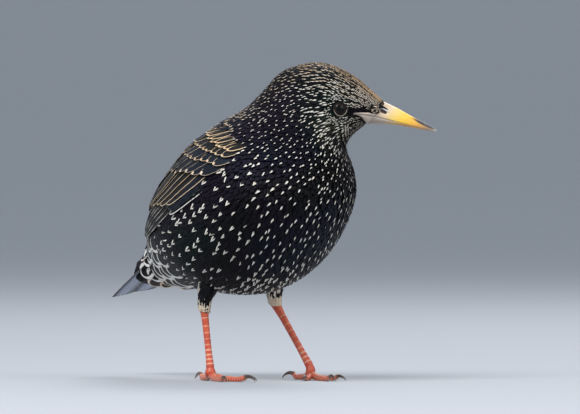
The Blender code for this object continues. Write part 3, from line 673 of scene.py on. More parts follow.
# The gape: soft bare lips, pale greyish pink, that carry the bill's edges back into the cheek towards the
# eye. The face's feathers end round them. Lines are (reach, height) in the head's upright plane.
GAPE_LOW = ((31.3, 106.25), (33.0, 105.85), (34.5, 105.0), (35.5, 103.7), (36.4, 102.6))
GAPE_MOUTH = ((31.3, 106.40), (33.4, 106.25), (35.4, 106.0), (37.4, 105.7), (39.2, 105.35))
GAPE_TOP = ((31.5, 106.75), (33.6, 106.95), (35.8, 106.95), (37.9, 106.95), (40.0, 106.95))
LIPS = {"lower_lip": (GAPE_LOW, GAPE_MOUTH), "upper_lip": (GAPE_MOUTH, GAPE_TOP)}
LIP_SUNK = 0.25
LIP_RISE = 0.55
LIP_DEPTH = 0.8
LIP_COLOUR = (0.45, 0.37, 0.31)
LIP_CORNER = (0.20, 0.17, 0.16)


def to_head_plane(points):
    """The reach ahead of the neck axis and the height of points in the head's upright plane."""
    turn = math.radians(HEAD_YAW)
    reach = points[..., 0] * math.cos(turn) + points[..., 1] * math.sin(turn)
    return np.stack([reach, points[..., 2]], -1)


def on_head_side(reach, height):
    """Where on the head's left side, as (along, around), the coat is at a reach and a height."""
    wanted = np.stack(np.broadcast_arrays(reach, height), -1).reshape(-1, 2)
    grid = np.meshgrid(np.linspace(0.0, 3.4, 69), np.linspace(44.0, 168.0, 63), indexing="ij")
    grid = np.stack(grid, -1).reshape(-1, 2)
    known = to_head_plane(coat_point(grid[:, 0], grid[:, 1]))
    place = grid[np.argmin(np.linalg.norm(known - wanted[:, None], axis=-1), axis=-1)]
    for _ in range(4):
        here = to_head_plane(coat_point(place[:, 0], place[:, 1]))
        by_along = (to_head_plane(coat_point(place[:, 0] + 0.02, place[:, 1])) - here) / 0.02
        by_around = (to_head_plane(coat_point(place[:, 0], place[:, 1] + 0.5)) - here) / 0.5
        move = np.linalg.solve(np.stack([by_along, by_around], -1), (wanted - here)[..., None])[..., 0]
        place = np.clip(place + np.clip(move, (-0.1, -4.0), (0.1, 4.0)), (0.0, 40.0), (3.6, 172.0))
    return np.moveaxis(place.reshape(*np.broadcast(reach, height).shape, 2), -1, 0)


lip_finish = Finish("lips", Roughness=0.5)
lip_map = lip_finish.map("lip")
lip_finish.set("Base Color", lip_finish.mix(lip_map.at(0).ramp(0.5, 0.0), LIP_COLOUR, LIP_CORNER))
lip_finish.bump(lip_finish.noise(lip_finish.place(), 2500.0), 0.0001)
lip_rows, lip_part = np.linspace(0.0, 1.0, 28), np.linspace(0.0, 1.0, 9)
for lip_name, (low_line, high_line) in LIPS.items():
    low_edge = smooth_values(low_line, lip_rows * (len(low_line) - 1))
    high_edge = smooth_values(high_line, lip_rows * (len(high_line) - 1))
    line = low_edge[:, None] + (high_edge - low_edge)[:, None] * lip_part[:, None]
    along, around = on_head_side(line[..., 0], line[..., 1])
    swell = np.sin(math.pi * lip_part) ** 0.6 * np.clip(lip_rows / 0.2, 0.0, 1.0)[:, None]
    for side, name in SIDES:
        top = on_coat(along, side * around, LIP_RISE * swell - LIP_SUNK)
        bottom = on_coat(along, side * around, -LIP_DEPTH)
        lip_rings = [np.concatenate([over, under[::-1]]) for over, under in zip(top, bottom)]
        lip = add_mesh(lip_name + "_" + name, *tube(lip_rings))
        paint_map(lip, "lip", [(t, p) for t in lip_rows for p in (*lip_part, *lip_part[::-1])])
        lip.data.materials.append(lip_finish.material)
        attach(lip, "root")


# The coat: body feathers in rows that run back from the bill along the lie of the coat, each lying on
# the next behind it. They are narrow and pointed on the head, neck and breast, rounder behind, glossy
# black with a green, blue and purple sheen, and pale at the tip: streaks, drops, then hearts and fringes.
EYE_CLEAR = 3.05
PATCH = 0.003
# A tract has its first and last place along, how many rows go round the body, the step between feathers
# at either end, how much wider and longer than their spacing they are, and their outline.
TRACTS = {
    "face": (0.06, 2.1, 92, (0.50, 0.78), 2.2, 3.6, "fine"),
    "head": (2.1, 5.0, 124, (1.0, 1.7), 2.2, 3.0, "fine"),
    "nape": (5.0, 8.3, 120, (1.2, 1.75), 2.1, 3.7, "lance"),
    "breast": (8.3, 10.9, 112, (1.8, 2.15), 2.1, 3.7, "lance"),
    "belly": (10.9, 12.95, 112, (2.15, 2.45), 2.1, 3.6, "spear"),
    "rump": (12.95, 14.3, 84, (2.4, 2.6), 2.1, 3.4, "spear"),
    "vent": (14.1, 17.4, 20, (2.6, 3.4), 2.5, 3.0, "leaf"),
}
# An outline is a line of (place along the feather, share of its width).
OUTLINES = {
    "fine": ((0.0, 0.25), (0.30, 0.92), (0.58, 0.92), (0.80, 0.50), (1.0, 0.03)),
    "lance": (
        (0.0, 0.25), (0.18, 0.70), (0.40, 1.0), (0.60, 0.88), (0.77, 0.60), (0.90, 0.30), (1.0, 0.02),
    ),
    "spear": (
        (0.0, 0.25), (0.18, 0.70), (0.42, 1.0), (0.62, 0.92), (0.78, 0.66), (0.90, 0.36), (1.0, 0.02),
    ),
    "leaf": (
        (0.0, 0.25), (0.18, 0.72), (0.42, 0.98), (0.64, 1.0), (0.80, 0.86), (0.92, 0.56), (1.0, 0.04),
    ),
}
OUTLINE_COLUMNS = {"fine": 3, "lance": 5, "spear": 5, "leaf": 7}
BLADE_CAMBER = 0.07
BLADE_THICK = 0.02
PALE_BARBS = (0.44, 0.40, 0.34)
DARK_STRANDS = (0.0025, 0.0025, 0.003)
TIP_LIFT = ((0.0, 0.03), (3.0, 0.05), (8.0, 0.11), (12.0, 0.16), (COAT_END, 0.30))
SHEENS = {
    "green": (0.0050, 0.0145, 0.0120),
    "blue": (0.0052, 0.0100, 0.0210),
    "purple": (0.0125, 0.0070, 0.0165),
    "soot": (0.0062, 0.0062, 0.0070),
    "olive": (0.022, 0.022, 0.017),
    "moss": (0.078, 0.078, 0.055),
    "slate": (0.026, 0.027, 0.031),
    "earth": (0.040, 0.031, 0.023),
}
# Places on the coat as (along, degrees from the ridge), with the pale mark there: where it starts on the
# feather, its half width, how much of that stays dark in its middle, 1 for a V or 2 for a U, its warmth,
# how many feathers of a marked row have it, the share of rows that are marked, and the sheen.
MARKS = {
    "forehead": (0.6, 25, 0.42, 0.35, 0.0, 1.0, 0.90, 1.0, 0.9, "olive"),
    "front crown": (2.2, 26, 0.46, 0.30, 0.0, 1.0, 0.97, 0.9, 0.55, "soot"),
    "crown": (4.0, 18, 0.50, 0.33, 0.0, 1.0, 0.80, 0.75, 0.45, "soot"),
    "crown side": (3.6, 48, 0.54, 0.32, 0.0, 1.0, 0.45, 0.75, 0.5, "green"),
    "brow front": (1.2, 62, 0.46, 0.33, 0.0, 1.0, 0.35, 0.95, 0.85, "olive"),
    "brow": (2.7, 68, 0.50, 0.34, 0.0, 1.0, 0.14, 0.85, 0.72, "olive"),
    "under lores": (2.3, 108, 0.58, 0.32, 0.0, 1.0, 0.15, 0.7, 0.7, "olive"),
    "moustache": (1.0, 124, 0.52, 0.30, 0.0, 1.0, 0.35, 0.75, 0.62, "soot"),
    "cheek": (3.5, 122, 0.46, 0.50, 0.0, 1.0, 0.12, 0.95, 1.0, "moss"),
    "behind eye": (4.7, 92, 0.64, 0.40, 0.0, 1.0, 0.03, 0.62, 0.75, "green"),
    "eye rim": (4.0, 96, 0.55, 0.40, 0.0, 1.0, 0.06, 0.64, 0.9, "green"),
    "under eye": (4.3, 112, 0.50, 0.44, 0.0, 1.0, 0.10, 0.9, 1.0, "moss"),
    "ear": (5.6, 88, 0.72, 0.40, 0.0, 1.0, 0.03, 0.58, 0.7, "green"),
    "jaw": (4.9, 132, 0.58, 0.38, 0.0, 1.0, 0.08, 0.8, 0.9, "olive"),
    "chin": (0.6, 160, 0.50, 0.32, 0.0, 1.0, 0.3, 0.85, 0.7, "olive"),
    "throat": (3.4, 165, 0.56, 0.36, 0.0, 1.0, 0.1, 0.85, 0.8, "olive"),
    "lower throat": (5.6, 152, 0.66, 0.33, 0.0, 1.0, 0.05, 0.72, 0.8, "soot"),
    "nape": (6.4, 18, 0.78, 0.33, 0.0, 1.0, 0.40, 0.62, 0.5, "soot"),
    "neck side": (6.9, 80, 0.80, 0.34, 0.0, 1.0, 0.08, 0.6, 0.6, "purple"),
    "low neck side": (8.0, 96, 0.77, 0.31, 0.0, 1.0, 0.05, 0.55, 0.6, "blue"),
    "fore neck": (6.9, 155, 0.66, 0.29, 0.0, 1.0, 0.03, 0.62, 0.58, "soot"),
    "upper breast": (8.4, 150, 0.67, 0.28, 0.0, 1.0, 0.0, 0.5, 0.56, "soot"),
    "breast": (10.0, 165, 0.68, 0.29, 0.0, 1.0, 0.0, 0.44, 0.54, "blue"),
    "breast side": (9.4, 118, 0.70, 0.27, 0.1, 1.0, 0.0, 0.34, 0.52, "soot"),
    "wrist": (9.6, 97, 0.66, 0.95, 0.50, 1.0, 0.05, 0.30, 0.5, "purple"),
    "flank": (11.2, 112, 0.66, 0.76, 0.55, 1.0, 0.0, 0.28, 0.5, "green"),
    "low flank": (11.6, 140, 0.69, 0.33, 0.3, 1.0, 0.0, 0.30, 0.5, "soot"),
    "rear flank": (12.6, 104, 0.67, 0.80, 0.56, 1.0, 0.0, 0.28, 0.5, "purple"),
    "belly": (12.3, 168, 0.70, 0.66, 0.56, 1.0, 0.0, 0.58, 0.7, "soot"),
    "vent": (14.2, 150, 0.80, 0.8, 0.6, 2.0, 0.05, 0.0, 0.0, "soot"),
    "under tail": (16.4, 175, 0.80, 0.8, 0.6, 2.0, 0.3, 0.0, 0.0, "soot"),
    "mantle": (8.8, 20, 0.80, 0.62, 0.3, 1.0, 0.6, 0.6, 0.6, "blue"),
    "back": (11.0, 12, 0.80, 0.72, 0.5, 1.5, 0.75, 0.65, 0.7, "green"),
    "rump": (13.4, 15, 0.78, 0.80, 0.55, 2.0, 0.75, 0.6, 0.7, "soot"),
    "over tail": (16.4, 10, 0.80, 0.8, 0.6, 2.0, 0.85, 0.0, 0.0, "soot"),
}
ROW_RANK = np.array([0, 2, 1, 3])
MARK_REACH = (1.0, 16.0)
# How far the rows bend up towards the ridge where they run back over the cheek, in shares of the girth.
FLOW = ((3.0, 0.0), (5.0, 0.022), (6.0, 0.045), (7.0, 0.06), (8.0, 0.05), (10.0, 0.0))
# The black stripe from the eye to the nostril, as lines of (reach, height).
LORES_TOP = ((27.6, 107.9), (29.0, 108.6), (34.0, 109.0), (40.0, 109.9), (44.0, 109.4))
LORES_LOW = ((27.6, 107.0), (29.0, 106.2), (33.0, 106.5), (41.0, 106.4), (44.0, 106.4))
LORES_FULL = 36.5
LORES_THIN = 0.6

SHARE_STEPS = 256
chart_along = np.linspace(0.0, COAT_END, 361)
chart_turns = np.linspace(0.0, 360.0, 181)
chart = coat_point(chart_along[:, None], chart_turns[None, :])
chart_arcs = np.cumsum(np.linalg.norm(np.diff(chart, axis=1), axis=-1), axis=1)
chart_arcs = np.concatenate([np.zeros((len(chart), 1)), chart_arcs], axis=1)
chart_girth = chart_arcs[:, -1]
shares = np.linspace(0.0, 1.0, SHARE_STEPS + 1)
turn_of_share = np.array([np.interp(shares, arcs / arcs[-1], chart_turns) for arcs in chart_arcs])


def around_at(along, share):
    """The angle round at which a share of the girth, from the ridge down the left side, is passed."""
    row = np.clip(np.asarray(along, float) / COAT_END, 0.0, 1.0) * (len(chart_along) - 1)
    column = np.clip(np.asarray(share, float), 0.0, 1.0) * SHARE_STEPS
    row, column = np.broadcast_arrays(row, column)
    r = np.minimum(row.astype(int), len(chart_along) - 2)
    c = np.minimum(column.astype(int), SHARE_STEPS - 1)
    fr, fc = row - r, column - c
    low = turn_of_share[r, c] * (1 - fc) + turn_of_share[r, c + 1] * fc
    high = turn_of_share[r + 1, c] * (1 - fc) + turn_of_share[r + 1, c + 1] * fc
    return low * (1 - fr) + high * fr


def girth_at(along):
    return np.interp(along, chart_along, chart_girth)


def bent(along, share):
    """Where a row that starts at a share of the girth runs: it rises over the cheek, then falls again."""
    return share - stepped(FLOW, along) * np.sin(2 * math.pi * share)


def blade_faces(rows, columns):
    """The faces of a blade whose rows have their points across the top, then one under the midline."""
    step, faces = columns + 1, []
    for a in range(0, (rows - 1) * step, step):
        for k in range(step):
            b = (k + 1) % step
            faces.append((a + k, a + b, a + b + step, a + k + step))
    last = (rows - 1) * step
    return faces + [tuple(range(step)), tuple(range(last + step - 1, last - 1, -1))]


def blade(name, outline, columns):
    """A feather's blade one unit long and wide, its root at the origin and its tip at +Y: a cambered top
    and a flatter underside that meet at the edges. Its map gives the place across, from -1 to 1, and
    along, from 0 to 1."""
    across_top = np.linspace(-1.0, 1.0, columns)
    points, values = [], []
    for place, share in outline:
        for u in across_top:
            points.append((u * share / 2, place, -BLADE_CAMBER * share * u * u))
            values.append((u, place))
        points.append((0.0, place, -BLADE_CAMBER * share * 0.25 - BLADE_THICK * min(1.0, share * 2)))
        values.append((0.0, place))
    obj = closed_object(name, points, blade_faces(len(outline), columns))
    paint_map(obj, "vane", values)
    return obj


def feather_tree():
    """Sets a blade on every root, turned and sized by the root's values, bends it to the body, gives it
    its patch of the bake's map, and makes it a plain mesh."""
    group = bpy.data.node_groups.new("feathers on roots", "GeometryNodeTree")
    kinds = {"Roots": "Geometry", "Blade": "Object", "Patch": "Float", "Finish": "Material"}
    for name, kind in kinds.items():
        group.interface.new_socket(name, in_out="INPUT", socket_type="NodeSocket" + kind)
    group.interface.new_socket("Feathers", in_out="OUTPUT", socket_type="NodeSocketGeometry")
    nodes = Nodes(group)
    given = group.nodes.new("NodeGroupInput")
    roots, blade_in, patch, finish = (Wire(nodes, given.outputs[name]) for name in kinds)

    def value(name, kind="FLOAT_VECTOR"):
        return nodes.add("GeometryNodeInputNamedAttribute", {"data_type": kind}, {"Name": name})

    def vector(operation, *values):
        return nodes.add("ShaderNodeVectorMath", {"operation": operation}, values)

    axes = {"primary_axis": "Z", "secondary_axis": "Y"}
    turned = nodes.add("FunctionNodeAxesToRotation", axes, [value("up"), value("ahead")])
    shape = nodes.add("GeometryNodeObjectInfo", {}, {"Object": blade_in}, "Geometry")
    placed = nodes.add(
        "GeometryNodeInstanceOnPoints", {},
        {"Points": roots, "Instance": shape, "Rotation": turned, "Scale": value("size")},
    )
    joined = nodes.add("GeometryNodeRealizeInstances", {}, [placed])
    v = value("vane").at(1)
    arch = value("bulge", "FLOAT") * v * (1.0 - v) * 4.0
    scaled = nodes.add("ShaderNodeVectorMath", {"operation": "SCALE"}, {0: value("up"), "Scale": arch})
    arched = nodes.add("GeometryNodeSetPosition", {}, {"Geometry": joined, "Offset": scaled})
    centred = vector("SUBTRACT", vector("MULTIPLY", value("vane"), (0.5, 1.0, 0.0)), (0.0, 0.5, 0.0))
    spread = nodes.add("ShaderNodeVectorMath", {"operation": "SCALE"}, {0: centred, "Scale": patch})
    mapped = nodes.add(
        "GeometryNodeStoreNamedAttribute", {"data_type": "FLOAT2", "domain": "CORNER"},
        {"Geometry": arched, "Name": "OFBake", "Value": vector("ADD", value("root"), spread)},
    )
    coloured = nodes.add("GeometryNodeSetMaterial", {}, {"Geometry": mapped, "Material": finish})
    result = group.nodes.new("NodeGroupOutput")
    nodes.feed(result.inputs[0], coloured)
    return group


def marks_at(along, around, row, order, rng):
    """Each feather's sheen and pale mark, blended from the places in MARKS and varied a little."""
    places = np.array([place[:2] for place in MARKS.values()])
    looks = np.array([(*place[2:9], *SHEENS[place[9]]) for place in MARKS.values()])
    away = (along[:, None] - places[:, 0]) / MARK_REACH[0]
    aside = (from_ridge(around)[:, None] - places[:, 1]) / MARK_REACH[1]
    weight = np.exp(-(away**2) - aside**2) + 1e-12
    look = weight @ looks / weight.sum(axis=1, keepdims=True)
    count = len(along)
    start, wide, hollow, bend, warmth, chance, lines = look[:, :7].T
    turn_by_turn = (order * 0.618 + row * 0.382 + rng.normal(0.0, 0.08, count)) % 1.0
    shown = (turn_by_turn < chance) & (ROW_RANK[row % 4] + rng.uniform(0.0, 0.9, count) < lines * 4.0)
    start = np.where(shown, start + rng.normal(0.0, 0.03, count), 2.0)
    mark = np.stack([start, wide * rng.uniform(0.85, 1.15, count), hollow], 1)
    warmth = np.clip(warmth + rng.normal(0.0, 0.1, count), 0.0, 1.0)
    tone = np.stack([warmth, bend, rng.random(count)], 1)
    tint = look[:, 7:] * rng.uniform(0.8, 1.25, (count, 1))
    return mark, tone, tint


def laid(root, tip, up, width, thick, bake, mark, tone, tint):
    """The values of feathers that lie from root to tip, with their faces to up. width and thick, and each
    of the numbers in bake, mark and tone, may be one for all the feathers or one for each of them."""
    length = np.linalg.norm(tip - root, axis=1)
    ahead = (tip - root) / length[:, None]

    def columns(*numbers):
        return np.stack([number + 0 * length for number in numbers], 1)

    return {
        "up": square_to(up, ahead), "ahead": ahead, "size": columns(width, length, thick) * MM,
        "root": columns(*bake, 0.0), "mark": columns(*mark), "tone": columns(*tone), "tint": tint,
    }


def coat_roots(name, rng):
    """Where a tract's feathers are rooted, and each one's direction, size, bend, mark and sheen."""
    start, end, meridians, (step_a, step_b), wide_for, long_for, kind = TRACTS[name]
    line = np.linspace(start, end, 241)
    along, share, row, order = [], [], [], []
    for j in range(meridians):
        middle_share = (j + 0.5) / meridians
        points = coat_point(line, around_at(line, bent(line, middle_share)))
        steps = way_along(points)
        wanted = np.linspace(step_a, step_b, len(steps))
        rows = np.concatenate([[0.0], np.cumsum(steps / wanted)]) + 0.5 * (j % 2)
        found = np.interp(np.arange(1, int(rows[-1]) + 1) - 0.5 + 0.5 * (j % 2), rows, line)
        along.append(found)
        share.append(np.full(len(found), middle_share))
        row.append(np.full(len(found), j))
        order.append(np.arange(len(found)))
    along, share, row, order = (np.concatenate(part) for part in (along, share, row, order))
    count = len(along)
    along = along + rng.normal(0.0, 0.02, count) * (end - start) / 3.0
    share = share + rng.normal(0.0, 0.10, count) / meridians
    around = around_at(along, bent(along, share))
    step = step_a + (step_b - step_a) * (along - start) / (end - start)
    girth = girth_at(along)
    width = girth / meridians * wide_for * rng.uniform(0.9, 1.1, count)
    width = width * (1.0 - 2 * math.pi * stepped(FLOW, along) * np.cos(2 * math.pi * share))
    length = step * long_for * rng.uniform(0.9, 1.1, count)
    behind = coat_point(np.clip(along + 0.1, 0, COAT_END), around)
    pace = np.linalg.norm(behind - coat_point(np.clip(along, 0, COAT_END - 0.1), around), axis=1) / 0.1
    swerve = rng.normal(0.0, 0.12, count) * width / girth
    lift = stepped(TIP_LIFT, along) * rng.uniform(0.7, 1.3, count)
    depth = stepped(COAT_DEPTH, along)
    stations = []
    for part in (0.0, 0.5, 1.0):
        place = np.clip(along + length * part / pace, 0.0, COAT_END)
        ring_place = around_at(place, bent(place, share + swerve * part))
        stations.append(on_coat(place, ring_place, -depth + (lift + depth) * part))
    root, halfway, tip = stations
    up = coat_normal(np.clip(along + length * 0.5 / pace, 0.0, COAT_END), around)
    keep = in_wing(along, around, 5.0) < 0.0
    from_eye = np.full(count, 99.0)
    for side in (1, -1):
        centre, forward, eye_up, out = eye_axes(side)
        from_eye = np.minimum(from_eye, np.linalg.norm(root - centre - out * EYE_SUNK, axis=1))
        for part in np.linspace(0.0, 1.0, 6):
            away = root + (tip - root) * part - centre
            flat = np.hypot(away @ forward, away @ eye_up)
            keep &= (flat > EYE_CLEAR * (1.06 - 0.12 * part)) | (away @ out < 0.0)
    for part in (0.35, 0.65, 0.9):
        seen_at, height = to_head_plane(root + (tip - root) * part).T
        gape_low, gape_top = (stepped(gape, seen_at) for gape in (GAPE_LOW, GAPE_TOP))
        in_gape = (height > gape_low - 0.1) & (height < gape_top + 0.1) & (seen_at > GAPE_LOW[0][0])
        keep &= ~(in_gape & (along < 3.0))
    reach = tip - root
    length = np.linalg.norm(reach, axis=1)
    mark, tone, tint = marks_at(along + 0.4 * length / pace, around, row, order, rng)
    seen_at, height = to_head_plane(root + reach * 0.7).T
    dark = (height < stepped(LORES_TOP, seen_at)) & (height > stepped(LORES_LOW, seen_at))
    dark &= (seen_at > LORES_TOP[0][0]) & (along < 4.0)
    mark[:, 0] = np.where(mark[:, 0] < 1.0, mark[:, 0] * np.clip((from_eye - 2.4) / 2.6, 0.3, 1.0), 2.0)
    dark &= (seen_at < LORES_FULL) | (rng.random(count) < LORES_THIN)
    mark[dark, 0] = 2.0
    tint[dark] = SHEENS["soot"]
    bake = (0.02 + 0.86 * share, 0.02 + 0.96 * along / COAT_END)
    values = laid(root, tip, up, width, width, bake, mark.T, tone.T, tint)
    bulge = np.sum((halfway - (root + tip) / 2) * values["up"], axis=1)
    return root[keep], {key: value[keep] for key, value in values.items()}, bulge[keep] * MM


def paint_vectors(mesh, name, values):
    """A named vector for each point of a mesh."""
    told = mesh.attributes.new(name, "FLOAT_VECTOR", "POINT")
    told.data.foreach_set("vector", np.asarray(values, np.float32).ravel())


def plant(name, roots, values, bulge, blade_obj, finish):
    """A piece of the coat from its roots: the tree is run, and its result kept as a plain mesh."""
    mesh = bpy.data.meshes.new(name + " roots")
    mesh.from_pydata(to_world(roots).tolist(), [], [])
    for key, value in values.items():
        paint_vectors(mesh, key, value)
    mesh.attributes.new("bulge", "FLOAT", "POINT").data.foreach_set("value", bulge.astype(np.float32))
    holder = in_scene(name + " roots", mesh)
    modifier = holder.modifiers.new("feathers", "NODES")
    given = {"Blade": blade_obj, "Patch": PATCH, "Finish": finish.material}
    for item in tree_of_feathers.interface.items_tree:
        if item.in_out == "INPUT" and item.name in given:
            given[item.identifier] = given.pop(item.name)
    modifier.node_group = tree_of_feathers
    for key, value in given.items():
        modifier[key] = value
    bpy.context.view_layer.update()
    graph = bpy.context.evaluated_depsgraph_get()
    made = bpy.data.meshes.new_from_object(holder.evaluated_get(graph))
    made.name = name
    for key in ("up", "ahead", "size", "root", "bulge"):
        if key in made.attributes:
            made.attributes.remove(made.attributes[key])
    bpy.data.objects.remove(holder)
    return in_scene(name, made)


tree_of_feathers = feather_tree()
plumage = Finish("plumage", Specular_IOR_Level=0.12)
vane = plumage.map("vane")
mark = plumage.attribute("mark")
tone = plumage.attribute("tone")
u, v = abs(vane.at(0)), vane.at(1)
barb = plumage.add("ShaderNodeCombineXYZ", {}, [u * 3.0 - v * 9.0, tone.at(2) * 40.0, 0.0])
barbs = plumage.noise(barb, 6.0, 2.0)
strand = plumage.add("ShaderNodeCombineXYZ", {}, [vane.at(0) * 7.0, v * 1.6, tone.at(2) * 90.0])
strands = plumage.noise(strand, 1.0, 3.0)
mark_start = mark.at(0) + vane.at(0) * (tone.at(2) - 0.5) * 0.4 + (barbs - 0.5) * 0.08
into_mark = (v - mark_start) / (1.0 - mark_start)
into_mark = into_mark.math("MAXIMUM", into_mark, 0.0)
opened = into_mark.math("MINIMUM", into_mark * 2.5 + mark.at(2) * 4.0, 1.0)
mark_wide = mark.at(1) * opened
in_tip = v.ramp(mark_start - 0.02, mark_start + 0.02) * u.ramp(mark_wide + 0.07, mark_wide - 0.07)
hollow_half = mark_wide * mark.at(2) * (1.0 - into_mark ** tone.at(1))
pale_share = in_tip * (u - hollow_half).ramp(-0.05, 0.05)
pale_colour = plumage.mix(tone.at(0), PALE_WHITE, PALE_BUFF)
pale_colour = plumage.mix(barbs * 0.35, pale_colour, PALE_BARBS)
sheen_spread = plumage.noise(plumage.place(), 60.0, 1.0)
dark_colour = plumage.mix(sheen_spread.ramp(0.4, 0.65) * 0.5, plumage.attribute("tint"), SHEENS["purple"])
dark_colour = plumage.mix(strands.ramp(0.42, 0.62) * 0.8, dark_colour, DARK_STRANDS)
plumage.set("Base Color", plumage.mix(pale_share, dark_colour, pale_colour))
plumage.set("Metallic", 0.5 - pale_share * 0.5)
plumage.set("Roughness", strands * 0.24 + 0.36 + pale_share * 0.25)
plumage.bump(strands + barbs * 0.4, 0.00016)

blades = {kind: blade("blade " + kind, OUTLINES[kind], OUTLINE_COLUMNS[kind]) for kind in OUTLINES}
planted = []
for seed, name in enumerate(TRACTS):
    root, values, bulge = coat_roots(name, np.random.default_rng(20 + seed))
    planted.append((root, values))
    coat = plant("coat_" + name, root, values, bulge, blades[TRACTS[name][6]], plumage)
    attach(coat, "root")


# The bristly black feathers at the nostrils: short, narrow and laid forward over the bill's root, above
# the flap with its painted highlight and behind the nostril.
NASAL_TOP = ((37.4, 109.2), (40.0, 110.2), (42.0, 109.9), (44.0, 108.7))
NASAL_LOW = 106.9
NASAL_FRONT = 45.0
NASAL_STEP = (0.42, 0.26)
FLAP_LINE = ((41.5, 109.0), (45.4, 107.1))

nasal_sides = np.array([vertex.co for vertex in upper.data.vertices]) / MM - NECK_AXIS
grid = np.meshgrid(np.linspace(0.0, 1.2, 60), np.linspace(50.0, 130.0, 120), indexing="ij")
nasal_sides = np.concatenate([nasal_sides, coat_point(*grid).reshape(-1, 3)])
nasal_turn = math.radians(HEAD_YAW)
nasal_plane = to_head_plane(nasal_sides)
nasal_across = nasal_sides[:, 1] * math.cos(nasal_turn) - nasal_sides[:, 0] * math.sin(nasal_turn)


def head_half(reach, height):
    """How far out the bill's or the head's side is at a reach and a height."""
    near = np.hypot(nasal_plane[:, 0] - reach, nasal_plane[:, 1] - height) < 0.3
    return float(nasal_across[near].max()) if near.any() else 0.5


rng = np.random.default_rng(60)
root, tip, out = [], [], []
for side in (1, -1):
    for start in np.arange(NASAL_TOP[0][0], 43.6, NASAL_STEP[0]):
        for height in np.arange(NASAL_LOW, stepped(NASAL_TOP, start), NASAL_STEP[1]):
            reach, level = start + rng.uniform(-0.2, 0.2), height + rng.uniform(-0.12, 0.12)
            length, flap = rng.uniform(1.8, 2.6), stepped(FLAP_LINE, reach)
            if level < flap + 0.7:
                length = min(length, FLAP_LINE[0][0] + rng.uniform(-0.7, 0.3) - reach)
            fall = 0.5 if level > flap + 0.7 else 0.12
            end, end_level = min(reach + length, NASAL_FRONT), level - fall * length
            if end - reach < 0.8:
                continue
            tip_half = head_half(end, end_level) + rng.uniform(0.1, 0.25)
            root.append(in_head_plane(reach, level, side * (head_half(reach, level) - 0.15)))
            tip.append(in_head_plane(end, end_level, side * tip_half))
            out.append(in_head_plane(0.0, 0.3, float(side)))
root, tip, out = np.array(root), np.array(tip), np.array(out)
count = len(root)
width = rng.uniform(0.45, 0.65, count)
tip_reach = to_head_plane(tip)[:, 0]
cream = (tip_reach < 42.0) & (tip_reach > 38.5) & (rng.random(count) < 0.45)
bake = (0.90 + 0.015 * (root[:, 0] - root[:, 0].min()) / 10.0, 0.01 + 0.012 * np.arange(count) % 0.4)
values = laid(
    root, tip, out, width, 0.6, bake, (np.where(cream, 0.3, 2.0), 0.5, 0.0), (0.5, 1.0, rng.random(count)),
    np.tile(SHEENS["soot"], (count, 1)))
coat = plant("coat_nostrils", root, values, np.zeros(count), blades["lance"], plumage)
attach(coat, "root")


# The short feathers round the eyes: fine soft dashes, black and pale, rooted in the skin at the edge of
# the lids, that lie back over the cheek.
RIM_REACH = (3.1, 5.4)
RIM_STEP = (0.12, 2.1)
RIM_LENGTH = (1.5, 2.1)
RIM_LORES = (0.9, 2.6)

rng = np.random.default_rng(62)
root, tip, up, look = [], [], [], []
for side in (1, -1):
    centre, forward, eye_up, out = eye_axes(side)
    grid = np.meshgrid(np.arange(2.6, 5.1, RIM_STEP[0]), np.arange(66.0, 130.0, RIM_STEP[1]), indexing="ij")
    along, ridge = (part.ravel() for part in grid)
    along = along + rng.uniform(-0.04, 0.04, along.size)
    around = side * (ridge + rng.uniform(-0.8, 0.8, along.size))
    pace = np.linalg.norm(coat_point(along + 0.2, around) - coat_point(along, around), axis=1) / 0.2
    end = along + rng.uniform(*RIM_LENGTH, along.size) / pace
    parts = (0.0, 0.5, 1.0)
    points = np.stack([on_coat(along + (end - along) * part, around, -0.15 + 0.3 * part) for part in parts])
    ahead, above = (points - centre) @ forward, (points - centre) @ eye_up
    away = np.hypot(ahead, above)
    keep = (away.min(axis=0) > RIM_REACH[0]) & (away[0] < RIM_REACH[1])
    keep &= (ahead[0] < RIM_LORES[0]) | (np.abs(above[0]) > RIM_LORES[1])
    root.append(points[0][keep])
    tip.append(points[2][keep])
    up.append(coat_normal(along, around)[keep])
    look.append(np.clip((ridge[keep] - 100.0) / 20.0, 0.0, 1.0))
root, tip, up, look = (np.concatenate(part) for part in (root, tip, up, look))
count = len(root)
width = rng.uniform(0.55, 0.75, count)
start = np.where(rng.random(count) < 0.5 + 0.2 * look, rng.uniform(0.3, 0.5, count), 2.0)
bake = (0.89 + 0.004 * (np.arange(count) % 2), 0.45 + 0.5 * np.arange(count) / count)
tint = np.array(SHEENS["green"]) * (1 - look[:, None]) + np.array(SHEENS["moss"]) * look[:, None] * 0.6
values = laid(root, tip, up, width, 0.6, bake, (start, 0.5, 0.0), (0.08, 1.0, rng.random(count)), tint)
planted.append((root, values))
coat = plant("coat_eyes", root, values, np.zeros(count), blades["fine"], plumage)
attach(coat, "root")


# The wings: each folded wing is a fan of stiff brown-black flight feathers with thin buff edges, under
# tiers of rounder, glossier coverts with broad buff tips. Its root tiers are hidden under the mantle.
FLIGHT_ROWS = 26
FLIGHT_COLUMNS = 11
FLIGHT_PLACES = np.linspace(0.0, 1.0, FLIGHT_ROWS) ** 0.9
FLIGHT_CAMBER = 0.045
FLIGHT_THICK = 0.16
SHAFT_RISE = 0.10
SHAFT_WIDE = 0.10
EDGE_RAGGED = 0.02
EDGE_PALE = (0.80, 0.79, 0.75)
EDGE_BUFF = (0.66, 0.46, 0.26)
